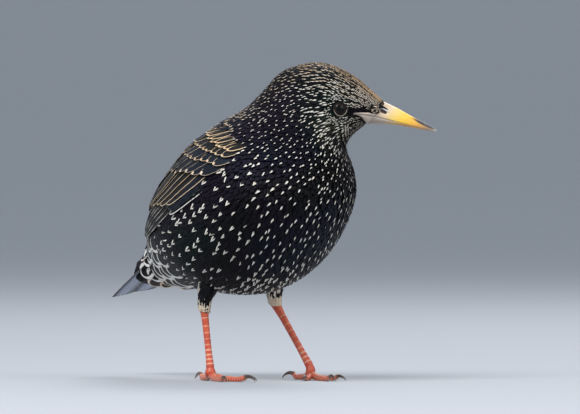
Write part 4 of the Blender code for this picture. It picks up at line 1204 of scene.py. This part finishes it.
# Tiers from the lowest up: count, the roots of the uppermost and the lowest feather and then their tips,
# as (along, degrees from the ridge), width, lift at root and tip, roll, outline and look.
WING_TIERS = {
    "primary": (7, (11.0, 58.0), (10.9, 82.0), (14.85, 50.0), (13.4, 75.0), 4.8, -0.5, 1.1, 12.0,
                "primary", (0.24, 0.7, 0.25, "soot")),
    "secondary": (7, (10.0, 50.0), (9.7, 84.0), (12.7, 50.0), (11.25, 77.0), 5.0, -0.5, 0.9, 12.0,
                  "secondary", (0.34, 1.1, 0.85, "soot")),
    "tertial": (3, (9.8, 40.0), (9.8, 55.0), (13.2, 40.0), (12.2, 56.0), 8.4, -0.4, 1.1, 8.0,
                "tertial", (0.36, 1.2, 0.85, "soot")),
    "edge of the hand": (1, (9.9, 91.5), (9.9, 91.5), (11.25, 85.5), (11.25, 85.5), 3.2, -0.6, 0.85, 12.0,
                         "secondary", (0.36, 0.5, 0.05, "soot")),
    "thumb": (3, (9.5, 82.0), (9.6, 88.0), (11.3, 78.5), (11.2, 83.5), 5.2, -0.7, 1.0, 10.0,
              "secondary", (0.02, 0.1, 0.2, "blue")),
    "greater covert": (8, (9.1, 42.0), (9.0, 86.0), (11.2, 46.0), (9.75, 82.0), 5.2, -0.9, 1.15, 10.0,
                       "covert", (0.16, 2.1, 0.70, "blue")),
    "median covert": (9, (8.9, 42.0), (8.75, 84.0), (10.3, 44.0), (9.35, 82.0), 4.6, -1.0, 1.25, 9.0,
                      "covert", (0.20, 1.5, 0.80, "blue")),
    "lesser covert": (10, (8.65, 44.0), (8.5, 80.0), (9.75, 43.0), (9.05, 80.0), 3.7, -1.0, 1.25, 8.0,
                      "covert", (0.22, 1.3, 0.9, "soot")),
    "least covert": (11, (8.4, 45.0), (8.3, 78.0), (9.25, 44.0), (8.85, 78.0), 2.9, -1.0, 1.15, 8.0,
                     "covert", (0.36, 1.2, 1.0, "soot")),
    "scapular": (9, (8.7, 33.0), (11.6, 30.0), (9.9, 47.0), (13.2, 38.0), 6.2, -0.4, 1.35, 6.0,
                 "covert", (0.22, 1.1, 0.8, "blue")),
}
FLIGHT_OUTLINES = {
    "primary": (
        (0.0, 0.45), (0.25, 0.85), (0.55, 1.0), (0.78, 0.88), (0.90, 0.62), (0.97, 0.32), (1.0, 0.06),
    ),
    "secondary": (
        (0.0, 0.4), (0.2, 0.85), (0.6, 1.0), (0.82, 0.94), (0.93, 0.70), (0.98, 0.40), (1.0, 0.08),
    ),
    "tertial": (
        (0.0, 0.4), (0.2, 0.85), (0.55, 1.0), (0.78, 0.95), (0.91, 0.72), (0.98, 0.38), (1.0, 0.08),
    ),
    "covert": (
        (0.0, 0.35), (0.15, 0.75), (0.45, 1.0), (0.68, 0.94), (0.83, 0.72), (0.94, 0.38), (1.0, 0.06),
    ),
    "rectrix": (
        (0.0, 0.8), (0.3, 0.95), (0.7, 1.0), (0.93, 0.96), (0.975, 0.80), (0.993, 0.52), (1.0, 0.16),
    ),
}


def from_rim(outline, width, length, u, v):
    """How far in millimetres a place of a feather is from its edge."""
    places = np.linspace(0.0, 1.0, 80)
    halves = stepped(outline, places) * width / 2
    edge = np.concatenate([np.stack([halves, places * length], 1), np.stack([-halves, places * length], 1)])
    here = np.stack([u * stepped(outline, v) * width / 2, v * length], -1)
    return np.min(np.linalg.norm(here[..., None, :] - edge, axis=-1), axis=-1)


def flight_feather(centres, normals, width, roll, outline, look, rng):
    """One feather along its midline: a cambered blade with its shaft, a thin edge and a flatter underside.
    look is (the width of the pale edge, the length of the pale spot at the tip, warmth, sheen)."""
    ahead = np.gradient(centres, axis=0)
    across = unit(np.cross(ahead, normals))
    face = unit(np.cross(across, ahead))
    turn = math.radians(roll)
    tilted = across * math.cos(turn) + face * math.sin(turn)
    raised = face * math.cos(turn) - across * math.sin(turn)
    v = np.linspace(0.0, 1.0, len(centres))
    length = float(np.sum(way_along(centres)))
    half = stepped(outline, v) * width / 2
    half = half * (1.0 + EDGE_RAGGED * rng.normal(0.0, 1.0, len(v)) * (v > 0.2) * (v < 0.95))
    u = np.sin(np.linspace(-1.0, 1.0, FLIGHT_COLUMNS) * math.pi / 2)
    drop = -FLIGHT_CAMBER * width * u**2 + SHAFT_RISE * np.exp(-((u / SHAFT_WIDE) ** 2)) * 0.8
    top = centres[:, None] + tilted[:, None] * (half[:, None] * u)[..., None]
    top = top + raised[:, None] * drop[None, :, None] * np.minimum(1.0, half / half.max())[:, None, None]
    low = centres - raised * FLIGHT_THICK
    points = np.concatenate([top, low[:, None]], axis=1)
    rows, step = len(v), FLIGHT_COLUMNS + 1
    us = np.concatenate([np.tile(u, (rows, 1)), np.zeros((rows, 1))], axis=1)
    vs = np.repeat(v[:, None], step, axis=1)
    rim = from_rim(outline, width, length, us, vs)
    edge, tip_edge, warmth, sheen = look
    spot = (1.0 - vs) * length + 1.2 * np.abs(us) * half[:, None] - tip_edge
    half_now = np.repeat(half[:, None], step, axis=1)
    count = rows * step
    tone = np.array([np.clip(warmth + rng.normal(0, 0.08), 0, 1), rng.uniform(0.8, 1.0), rng.random()])
    values = {
        "vane": np.stack([us * half_now, vs * length], -1).reshape(count, 2),
        "patch": np.stack([us, vs], -1).reshape(count, 2),
        "rim": np.stack([rim, np.full(rim.shape, edge), spot], -1).reshape(count, 3),
        "tone": np.tile(tone, (count, 1)),
        "tint": np.tile(np.array(SHEENS[sheen]) * rng.uniform(0.85, 1.15), (count, 1)),
    }
    return points.reshape(count, 3), blade_faces(rows, FLIGHT_COLUMNS), values


def join_feathers(name, feathers, finish):
    """One piece from all the feathers, each with its own patch of the bake's map."""
    points, faces, maps, start = [], [], {}, 0
    cells = math.ceil(math.sqrt(len(feathers)))
    for k, (own_points, own_faces, values) in enumerate(feathers):
        points.append(own_points)
        faces += [tuple(start + corner for corner in face) for face in own_faces]
        start += len(own_points)
        patch = values.pop("patch") * (0.45, 0.94) + (0.5, 0.03)
        values["OFBake"] = (patch + (k % cells, k // cells)) / cells
        for key, value in values.items():
            maps.setdefault(key, []).append(value)
    obj = add_mesh(name, np.concatenate(points), faces)
    for key, value in maps.items():
        value = np.concatenate(value)
        if value.shape[1] == 2:
            paint_map(obj, key, value)
        else:
            paint_vectors(obj.data, key, value)
    obj.data.materials.append(finish.material)
    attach(obj, "root")
    return obj


flight = Finish("flight feathers", Specular_IOR_Level=0.14)
across_mm, along_mm = abs(flight.map("vane").at(0)), flight.map("vane").at(1)
rim = flight.attribute("rim")
tone = flight.attribute("tone")
barb_place = [along_mm * 3.2 - across_mm * 3.0, tone.at(2) * 50.0, across_mm * 0.4]
barbs = flight.noise(flight.add("ShaderNodeCombineXYZ", {}, barb_place), 1.6, 3.0)
fringe = rim.at(0).ramp(rim.at(1) + 0.12, rim.at(1) - 0.10)
fringe = fringe.math("MAXIMUM", fringe, rim.at(2).ramp(0.15, -0.15))
under_edge = rim.at(0).ramp(rim.at(1) + 1.3, rim.at(1) + 0.2)
tint = flight.attribute("tint")
body_colour = flight.mix(barbs.ramp(0.3, 0.7) * 0.3, tint, (0.014, 0.013, 0.013))
body_colour = flight.mix(under_edge * 0.45, body_colour, (0.006, 0.006, 0.007))
shaft = across_mm.ramp(0.22, 0.08)
body_colour = flight.mix(shaft * 0.8, body_colour, (0.014, 0.011, 0.009))
edge_colour = flight.mix(tone.at(0), EDGE_PALE, EDGE_BUFF)
edge_colour = flight.mix(barbs * 0.3, edge_colour, (0.26, 0.20, 0.14))
flight.set("Base Color", flight.mix(fringe, body_colour, edge_colour))
flight.set("Metallic", 0.3 - fringe * 0.3)
flight.set("Roughness", barbs * 0.2 + 0.42)
flight.bump(barbs, 0.00010)

for side, name in SIDES:
    rng = np.random.default_rng(50)
    feathers = []
    for count, *ends, width, root_lift, tip_lift, roll, outline, look in WING_TIERS.values():
        high_root, low_root, high_tip, low_tip = np.array(ends)
        for k in range(count):
            share = k / max(1, count - 1)
            root = high_root * (1 - share) + low_root * share
            tip = high_tip * (1 - share) + low_tip * share + rng.uniform(-1.0, 1.0, 2) * (0.05, 0.6)
            along = root[0] + (tip[0] - root[0]) * FLIGHT_PLACES
            around = side * (root[1] + (tip[1] - root[1]) * FLIGHT_PLACES)
            lift = root_lift + (tip_lift - root_lift) * FLIGHT_PLACES + rng.uniform(-0.06, 0.06)
            wide = width * rng.uniform(0.94, 1.06)
            feathers.append(flight_feather(
                on_coat(along, around, lift), coat_normal(along, around), wide, side * roll,
                FLIGHT_OUTLINES[outline], look, rng))
    wing = join_feathers("wing_feathers_" + name, feathers, flight)
    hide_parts("wing_" + name)


# The tail's coverts: broad rounded feathers in rows round the tail's root, over the vent's short ones. On
# the sides they are black with bold white borders that stack up as bands, greyer with buff borders
# along the middle underneath, and dusky with thin buff borders above.
COVERT_END = 17.0
# By degrees from the ridge: where the coverts begin, their pale edge, its warmth and how far they stand
# off at the tip. By the place along: the step between rows and the feathers' width.
COVERT_FRONT = ((0, 13.9), (60, 13.6), (92, 12.75), (130, 13.15), (170, 14.1), (180, 14.2))
COVERT_STEP = ((12.7, 7.6), (14.0, 6.4), (15.5, 4.4), (17.0, 3.4))
COVERT_SPACE = 6.6
COVERT_SUNK = 0.9
COVERT_ROLL = 5.0
COVERT_LENGTH = 16.0
COVERT_WIDTH = ((12.5, 9.6), (15.0, 8.2), (17.0, 7.4))
COVERT_EDGE = ((0, 0.45), (60, 0.6), (90, 1.25), (140, 1.35), (165, 1.0), (180, 1.0))
COVERT_WARMTH = ((0, 0.9), (60, 0.4), (90, 0.05), (145, 0.08), (180, 0.8))
COVERT_LOOSE = ((0, 0.25), (90, 0.35), (140, 0.6), (180, 1.9))
COVERT_OUTLINE = ((0.0, 0.4), (0.2, 0.8), (0.5, 1.0), (0.7, 0.96), (0.86, 0.76), (0.95, 0.48), (1.0, 0.16))

rng = np.random.default_rng(65)
covert_line = np.linspace(COVERT_FRONT[2][1], COVERT_END, 200)
covert_arcs = way_along(coat_point(covert_line, 100.0)).cumsum()
feathers = []
tip_arcs = [0.0]
while tip_arcs[-1] < covert_arcs[-1]:
    last_along = np.interp(tip_arcs[-1], covert_arcs, covert_line[1:])
    tip_arcs.append(tip_arcs[-1] + stepped(COVERT_STEP, last_along))
for row, arc in enumerate(tip_arcs[:-1]):
    tip_along = float(np.interp(arc, covert_arcs, covert_line[1:]))
    count = round(float(girth_at(tip_along)) / COVERT_SPACE / 2) * 2
    for k in range(count):
        share = (k + 0.5 * (row % 2)) / count
        ridge = float(from_ridge(around_at(tip_along, share)))
        if tip_along < stepped(COVERT_FRONT, ridge):
            continue
        path = np.linspace(max(11.0, tip_along - 2.8), tip_along, 60)
        steps = way_along(coat_point(path, around_at(path, share)))
        back_from_tip = np.concatenate([np.cumsum(steps[::-1])[::-1], [0.0]])
        root_along = float(np.interp(-COVERT_LENGTH, -back_from_tip, path))
        along = root_along + (tip_along - root_along) * FLIGHT_PLACES
        around = around_at(along, share + rng.normal(0.0, 0.004) * FLIGHT_PLACES)
        rise = COVERT_SUNK + stepped(COVERT_LOOSE, ridge) + rng.uniform(-0.08, 0.08)
        lift = -COVERT_SUNK + rise * FLIGHT_PLACES
        edge, warmth = stepped(COVERT_EDGE, ridge), stepped(COVERT_WARMTH, ridge)
        sheen = "slate" if ridge < 60 else "earth" if ridge > 155 else "soot"
        roll = COVERT_ROLL if share < 0.5 else -COVERT_ROLL
        feathers.append(flight_feather(
            on_coat(along, around, lift), coat_normal(along, around), stepped(COVERT_WIDTH, tip_along),
            roll, COVERT_OUTLINE, (edge, edge * 1.3, warmth, sheen), rng))
coverts = join_feathers("tail_coverts", feathers, flight)


# The tail: twelve stiff feathers, closed over one another like a hand of cards, the middle pair on top,
# grey-brown with a thin buff edge, slate grey below and made paler there with painted light against the
# shade under the tail. The tail is held with its left side a little up.
TAIL_START = (-76.0, 49.8)
TAIL_FALL = 31.0
TAIL_LENGTH = 31.0
TAIL_CORNERS = 0.03
TAIL_ROOT_IN = 3.0
TAIL_ROOT_SPREAD = 0.9
TAIL_PAIRS = 6
TAIL_FEATHER_WIDTH = 12.6
TAIL_HALF_WIDTH = 12.0
TAIL_STACK = 0.42
TAIL_LAP = 0.12
TAIL_ROLL = -2.0
TAIL_TILT = 9.0
TAIL_LIFT = 1.2
TAIL_LOOK = (0.32, 0.8, 0.5, "slate")
# Grey below, made paler with painted light for the shade that the downward side gets.
TAIL_UNDER_GREY_AND_PAINTED_LIGHT = (0.56, 0.61, 0.73)
TAIL_BORDER = (0.20, 0.22, 0.27)

rng = np.random.default_rng(70)
fall = math.radians(TAIL_FALL)
back = np.array([-math.cos(fall), 0.0, -math.sin(fall)])
tilt = math.radians(TAIL_TILT)
level_up = np.array([-math.sin(fall), 0.0, math.cos(fall)])
tail_up = level_up * math.cos(tilt) - np.array([0.0, 1.0, 0.0]) * math.sin(tilt)
tail_left = np.array([0.0, 1.0, 0.0]) * math.cos(tilt) + level_up * math.sin(tilt)
tail_root = np.array([TAIL_START[0], 0.0, TAIL_START[1]]) + level_up * TAIL_LIFT
inner = TAIL_FEATHER_WIDTH / 12
outer = TAIL_HALF_WIDTH - TAIL_FEATHER_WIDTH / 2
feathers = []
for pair in range(TAIL_PAIRS):
    share = pair / (TAIL_PAIRS - 1)
    spread = inner + (outer - inner) * share
    for side in (1, -1):
        reach = TAIL_LENGTH * (0.97 + TAIL_CORNERS * share) * rng.uniform(0.985, 1.0)
        sink = tail_up * (TAIL_STACK * pair + TAIL_LAP * (side < 0))
        root = tail_root + back * TAIL_ROOT_IN + tail_left * side * spread * TAIL_ROOT_SPREAD - sink
        tip = tail_root + back * reach + tail_left * side * spread - sink
        centres = root + (tip - root) * FLIGHT_PLACES[:, None]
        normals = np.tile(tail_up, (FLIGHT_ROWS, 1))
        feather = flight_feather(
            centres, normals, TAIL_FEATHER_WIDTH, side * TAIL_ROLL, FLIGHT_OUTLINES["rectrix"],
            TAIL_LOOK, rng)
        tints = feather[2]["tint"].reshape(FLIGHT_ROWS, -1, 3)
        # The edges take a grey between, and the underside its grey with painted light.
        tints[:, [0, -2]] = TAIL_BORDER
        tints[:, -1] = TAIL_UNDER_GREY_AND_PAINTED_LIGHT
        feathers.append(feather)
tail = join_feathers("tail_feathers", feathers, flight)
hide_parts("tail")


# The thighs' coat: short, soft, loose feathers from the belly to just over the heel, dusky with cream
# and grey tips, each lying down the leg. The rear side and the cuff above the bare leg are mostly cream.
THIGH_ROWS = 30
THIGH_AROUND = 26
THIGH_CREAM = {"left": 0.62, "right": 0.36}
# The shank's direction below the heel, and how far down the coat reaches, as a share of the thigh.
SHANK_WAY = {"left": (0.510, 0.209, -0.835), "right": (0.222, -0.031, -0.975)}
THIGH_END = {"left": 1.12, "right": 1.34}
HEEL_RADIUS = 2.05

for seed, (name, (hip, ankle)) in enumerate(THIGHS.items()):
    rng = np.random.default_rng(80 + seed)
    hip, ankle = np.array(hip), np.array(ankle)
    way = unit(ankle - hip)
    side_way = unit(np.cross(way, (0.0, 1.0, 0.0)))
    across_way = np.cross(way, side_way)
    reach = np.linalg.norm(ankle - hip)
    row, column = np.divmod(np.arange(THIGH_ROWS * THIGH_AROUND), THIGH_AROUND)
    last = THIGH_END[name]
    t = (row + rng.uniform(-0.4, 0.4, row.size)) / THIGH_ROWS * (last - 0.25)
    turn = 2 * math.pi * (column + 0.5 * (row % 2) + rng.uniform(-0.3, 0.3, row.size)) / THIGH_AROUND
    radial = side_way * np.cos(turn)[:, None] + across_way * np.sin(turn)[:, None]
    length = rng.uniform(4.4, 6.4, row.size) * (1.15 - 0.4 * t)

    def thigh_point(share, lift):
        """A place on the thigh, and past its end at 1 on the top of the shank."""
        radius = np.maximum(thigh_radius(np.clip(share, 0.0, 1.0)), HEEL_RADIUS) + lift
        on_thigh = way * (reach * np.minimum(share, 1.0))[:, None]
        on_shank = np.array(SHANK_WAY[name]) * (reach * np.maximum(share - 1.0, 0.0))[:, None]
        return hip + (on_thigh + on_shank) + radial * radius[:, None]

    end = np.minimum(t + length / reach, last * rng.uniform(0.93, 1.0, row.size))
    root, tip = thigh_point(t, -0.15), thigh_point(end, rng.uniform(0.2, 0.6, row.size))
    count = row.size
    width = rng.uniform(0.8, 1.15, count)
    cuff = np.clip((end / last - 0.80) / 0.14, 0.0, 1.0)
    pale = rng.random(count) < THIGH_CREAM[name] - 0.42 * radial[:, 0] + 0.9 * cuff
    start = rng.uniform(0.15, 0.5, count) * (1.0 - 0.8 * cuff)
    tone = (rng.uniform(0.1, 0.3, count) + 0.3 * cuff, 1.0, rng.random(count))
    tint = np.array(SHEENS["soot"]) * rng.uniform(1.0, 5.0, (count, 1))
    bake = (0.92 + 0.07 * (turn / (2 * math.pi) % 1.0), (seed + 0.05 + 0.9 * t) / 2)
    values = laid(root, tip, radial, width, 1.1, bake, (np.where(pale, start, 2.0), 0.95, 0.1), tone, tint)
    planted.append((root, values))
    coat = plant("coat_thigh_" + name, root, values, np.zeros(count), blades["leaf"], plumage)
    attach(coat, "root")
for obj in blades.values():
    bpy.data.objects.remove(obj)


# The down under the coat has the coat's colours, so that no gap between feathers shows: each place of the
# skin takes the sheen of the nearest feather and the paleness of the nearest pale mark.
SKIN_MARK_REACH = 1.6

roots = np.concatenate([root for root, values in planted])
told = {key: np.concatenate([values[key] for root, values in planted]) for key in planted[0][1]}
reach = told["ahead"] * told["size"][:, 1:2] / MM
centres = to_world(roots + reach * np.clip((told["mark"][:, :1] + 1.0) / 2, 0.5, 1.0))
near_feather = KDTree(len(centres))
near_mark = KDTree(len(centres))
for k, centre in enumerate(centres):
    near_feather.insert(centre, k)
    if told["mark"][k, 0] < 1.0:
        near_mark.insert(centre, k)
near_feather.balance()
near_mark.balance()
skin_tint, skin_marks = [], []
for vertex in skin.data.vertices:
    skin_tint.append(told["tint"][near_feather.find(vertex.co)[1]])
    place, k, away = near_mark.find(vertex.co)
    skin_marks.append((max(0.0, 1.0 - away / (SKIN_MARK_REACH * MM)), told["tone"][k, 0], 0.0))
paint_vectors(skin.data, "tint", skin_tint)
paint_vectors(skin.data, "mark", skin_marks)


# The legs: a slim tarsus with overlapping horny plates down its front, and three toes ahead and one
# behind with plates across their tops and soft pads underneath, orange-red, with dark horn claws.
TARSUS_RADII = (2.0, 1.45, 1.3, 1.25, 1.3, 1.6)
TARSUS_PLATES = 10
PLATES_CROWD = 1.55
TARSUS_OVERLAP = 0.04
TARSUS_ROWS = 150
LEG_SIDES = 28
PLATE_RISE = 0.17
# A foot has the lower end of its tarsus and its turn in degrees; a toe its turn on the foot, its length,
# its radius and its claw's length.
FEET = {"left": ((-7.8, 22.3, 5.6), -14.0), "right": ((-20.4, -17.2, 5.2), 6.0)}
TOES = {
    "outer": (22.0, 15.5, 1.25, 5.4),
    "middle": (0.0, 21.5, 1.35, 6.4),
    "inner": (-30.0, 14.5, 1.25, 5.6),
    "hind": (200.0, 10.5, 1.45, 7.6),
}
BALL_HEIGHT = 2.6
BALL_RINGS = ((0.0, 1.52), (0.45, 2.0), (0.85, 2.2), (1.15, 1.9), (1.4, 1.1))
BALL_ROWS = 18
BALL_SIDES = 24
TOE_PLATE = 1.45
TOE_PLATE_RISE = 0.13
TOE_TAPER = 0.66
TOE_ARCH = 0.5
TOE_SINK = 0.14
TOE_ROWS = 90
PAD_SWELL = 0.12
PADS = 3.5
CLAW_RISE = 20.0
CLAW_FALL = 50.0
CLAW_CLEAR = 0.35
CLAW_THICK = 0.62
CLAW_TIP = 0.07
CLAW_SUNK = 0.4
CLAW_NARROWED = 0.18
CLAW_ROWS = 22
CLAW_SIDES = 16
LEG_RED = (0.46, 0.046, 0.018)
LEG_ORANGE = (0.60, 0.105, 0.032)
LEG_DUSKY = (0.16, 0.065, 0.05)
SEAM_PALE = (0.74, 0.46, 0.32)
PAD_PINK = (0.58, 0.30, 0.22)
CLAW_HORN = (0.020, 0.011, 0.008)
CLAW_LIGHT = (0.30, 0.18, 0.11)


def plate_profile(place):
    """The rise of overlapping plates, from 0 in a seam to 1 on a plate, as the place runs on."""
    part = np.asarray(place) % 1.0
    out_of_seam, into_seam = np.clip(part / 0.10, 0, 1), np.clip((1.0 - part) / 0.05, 0, 1)
    return out_of_seam**0.5 * (1.0 - 0.55 * part) * into_seam**0.5


def toe_end_height(claw):
    """The height of a claw's root over the floor, so that its tip just clears it."""
    rise, lean = math.radians(CLAW_RISE), math.radians(CLAW_FALL)
    return CLAW_CLEAR + claw * (math.cos(rise) - math.cos(lean)) / (rise + lean)


leg_skin = Finish("leg skin", Roughness=0.42, Coat_Weight=0.12, Coat_Roughness=0.3)
plate_map = leg_skin.map("plates")
facing, along_plates = plate_map.at(0), plate_map.at(1)
part = along_plates.math("FRACT", along_plates)
mottle = leg_skin.noise(leg_skin.place(), 420.0, 3.0)
height = leg_skin.place().at(2)
seam = part.ramp(0.10, 0.03) + part.ramp(0.95, 0.99)
wide_seam = part.ramp(0.34, 0.2) * height.ramp(0.016, 0.011)
seam = part.math("MAXIMUM", seam, wide_seam) * facing.ramp(-0.5, -0.1)
toe_dusk = height.ramp(0.0075, 0.0045) * mottle.ramp(0.42, 0.62) * facing.ramp(-0.3, 0.4)
colour = leg_skin.mix(mottle.ramp(0.3, 0.7), LEG_RED, LEG_ORANGE)
colour = leg_skin.mix(toe_dusk * 0.65, colour, LEG_DUSKY)
colour = leg_skin.mix(facing.ramp(-0.35, -0.8) * height.ramp(0.006, 0.003), colour, PAD_PINK)
colour = leg_skin.mix(seam * 0.62, colour, SEAM_PALE)
leg_skin.set("Base Color", colour)
leg_skin.bump(leg_skin.noise(leg_skin.place(), 2500.0, 3.0), 0.00008)

horn = Finish("claw horn", Roughness=0.3, Coat_Weight=0.15, Coat_Roughness=0.2)
claw_place = horn.map("claw")
streaks = horn.add("ShaderNodeMapping", {}, {"Vector": claw_place, "Scale": (9.0, 1.2, 1.0)})
streaks = horn.noise(streaks, 2.0, 3.0)
under_claw = claw_place.at(0)
under_claw = under_claw.math("COSINE", under_claw).ramp(-0.35, -0.85)
light = claw_place.at(1).ramp(0.3, 0.0) * 0.35 + streaks * 0.15 + under_claw * 0.6
horn.set("Base Color", horn.mix(light, CLAW_HORN, CLAW_LIGHT))
horn.bump(streaks, 0.00005)

facings = np.cos(2 * math.pi * (np.arange(LEG_SIDES) + 0.5) / LEG_SIDES)
claw_turns = 2 * math.pi * (np.arange(CLAW_SIDES) + 0.5) / CLAW_SIDES
for side, name in SIDES:
    ankle, toes, yaw = Vector(THIGHS[name][1]), Vector(FEET[name][0]), FEET[name][1]
    axis = (toes - ankle).normalized()
    rings, values = [], []
    for t in np.linspace(-TARSUS_OVERLAP, 1.0, TARSUS_ROWS):
        radius = float(smooth_line(TARSUS_RADII, max(t, 0.0) * 5.0))
        radius *= 1.0 - 0.5 * max(0.0, -t / TARSUS_OVERLAP) ** 2
        place = TARSUS_PLATES * max(t, 0.0) ** PLATES_CROWD
        rise = PLATE_RISE * plate_profile(place) * np.clip(facings * 1.6 + 0.2, 0.0, 1.0)
        rise = rise + PLATE_RISE * 0.35 * np.clip(-facings, 0.0, 1.0) ** 2
        rings.append(ring_round(ankle.lerp(toes, t), axis, radius + rise * min(1.0, max(0.0, t / 0.08))))
        values += [(f, place) for f in facings]
    tarsus = add_mesh("tarsus_" + name, *tube(rings))
    paint_map(tarsus, "plates", values)
    tarsus.data.materials.append(leg_skin.material)
    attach(tarsus, "root")
    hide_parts("shank_" + name)

    ball_at = Vector((toes.x, toes.y, BALL_HEIGHT)) + Vector((axis.x, axis.y, 0.0))
    rings = []
    for t, radius in smooth_values(BALL_RINGS, np.linspace(0.0, len(BALL_RINGS) - 1.0, BALL_ROWS)):
        rings.append(ring_round(toes.lerp(ball_at, float(t)), axis, [float(radius)] * BALL_SIDES))
    pieces = [(*tube(rings), [(0.0, 0.5)] * (BALL_ROWS * BALL_SIDES))]
    for toe, (turn, length, radius, claw) in TOES.items():
        heading = math.radians(yaw + side * turn)
        ahead = Vector((math.cos(heading), math.sin(heading), 0.0))
        plates = round(length / TOE_PLATE)
        end = toe_end_height(claw) - radius * TOE_TAPER
        over_floor = (ball_at.z - radius, TOE_ARCH, 0.0, 0.0, 0.0, end)
        rings, toe_values = [], []
        for t in np.linspace(0.0, 1.0, TOE_ROWS):
            rounded = 1.0 - 0.45 * max(0.0, (t - 0.93) / 0.07) ** 2
            thick = radius * (1.0 + (TOE_TAPER - 1.0) * t) * rounded
            over = float(smooth_line(over_floor, t * 5.0))
            centre = ball_at + ahead * (length * t)
            centre.z = thick - TOE_SINK + over
            pads = PAD_SWELL * math.sin(math.pi * (t * PADS % 1.0)) ** 0.5
            rise = TOE_PLATE_RISE * plate_profile(t * plates) * np.clip(facings * 1.6, 0.0, 1.0)
            swell = pads * np.clip(0.3 - facings, 0.0, 1.0)
            rings.append(ring_round(centre, ahead, thick + rise + swell))
            toe_values += [(f, t * plates) for f in facings]
        pieces.append((*tube(rings), toe_values))

        start = (toes.x + axis.x, toes.y + axis.y, toe_end_height(claw))
        place = Vector(start) + ahead * (length - 0.25)
        rise, lean = math.radians(CLAW_RISE), math.radians(CLAW_FALL)
        claw_rings, claw_values = [], []
        for k in range(CLAW_ROWS + 1):
            t = k / CLAW_ROWS
            slope = rise - (rise + lean) * max(0.0, t - 0.5 / CLAW_ROWS)
            way = ahead * math.cos(slope) + Vector((0, 0, math.sin(slope)))
            if k:
                place = place + way * (claw + CLAW_SUNK) / CLAW_ROWS
            thick = radius * CLAW_THICK * (1.0 - t) ** 0.75 + CLAW_TIP
            radii = thick * (1.0 - CLAW_NARROWED * np.abs(np.sin(claw_turns)))
            claw_rings.append(ring_round(place, way, radii))
            claw_values += [(around, t) for around in claw_turns]
        nail = add_mesh("claw_" + name + "_" + toe + "_horn", *tube(claw_rings))
        paint_map(nail, "claw", claw_values)
        nail.data.materials.append(horn.material)
        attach(nail, "root")
        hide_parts("claw_" + name + "_" + toe)
    points, faces, values = [], [], []
    for own_points, own_faces, own_values in pieces:
        faces += [tuple(len(points) + corner for corner in face) for face in own_faces]
        points += [Vector((p[0], p[1], max(p[2], 0.0))) for p in own_points]
        values += own_values
    foot = add_mesh("toes_" + name, points, faces)
    paint_map(foot, "plates", values)
    foot.data.materials.append(leg_skin.material)
    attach(foot, "root")
    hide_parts("foot_" + name)
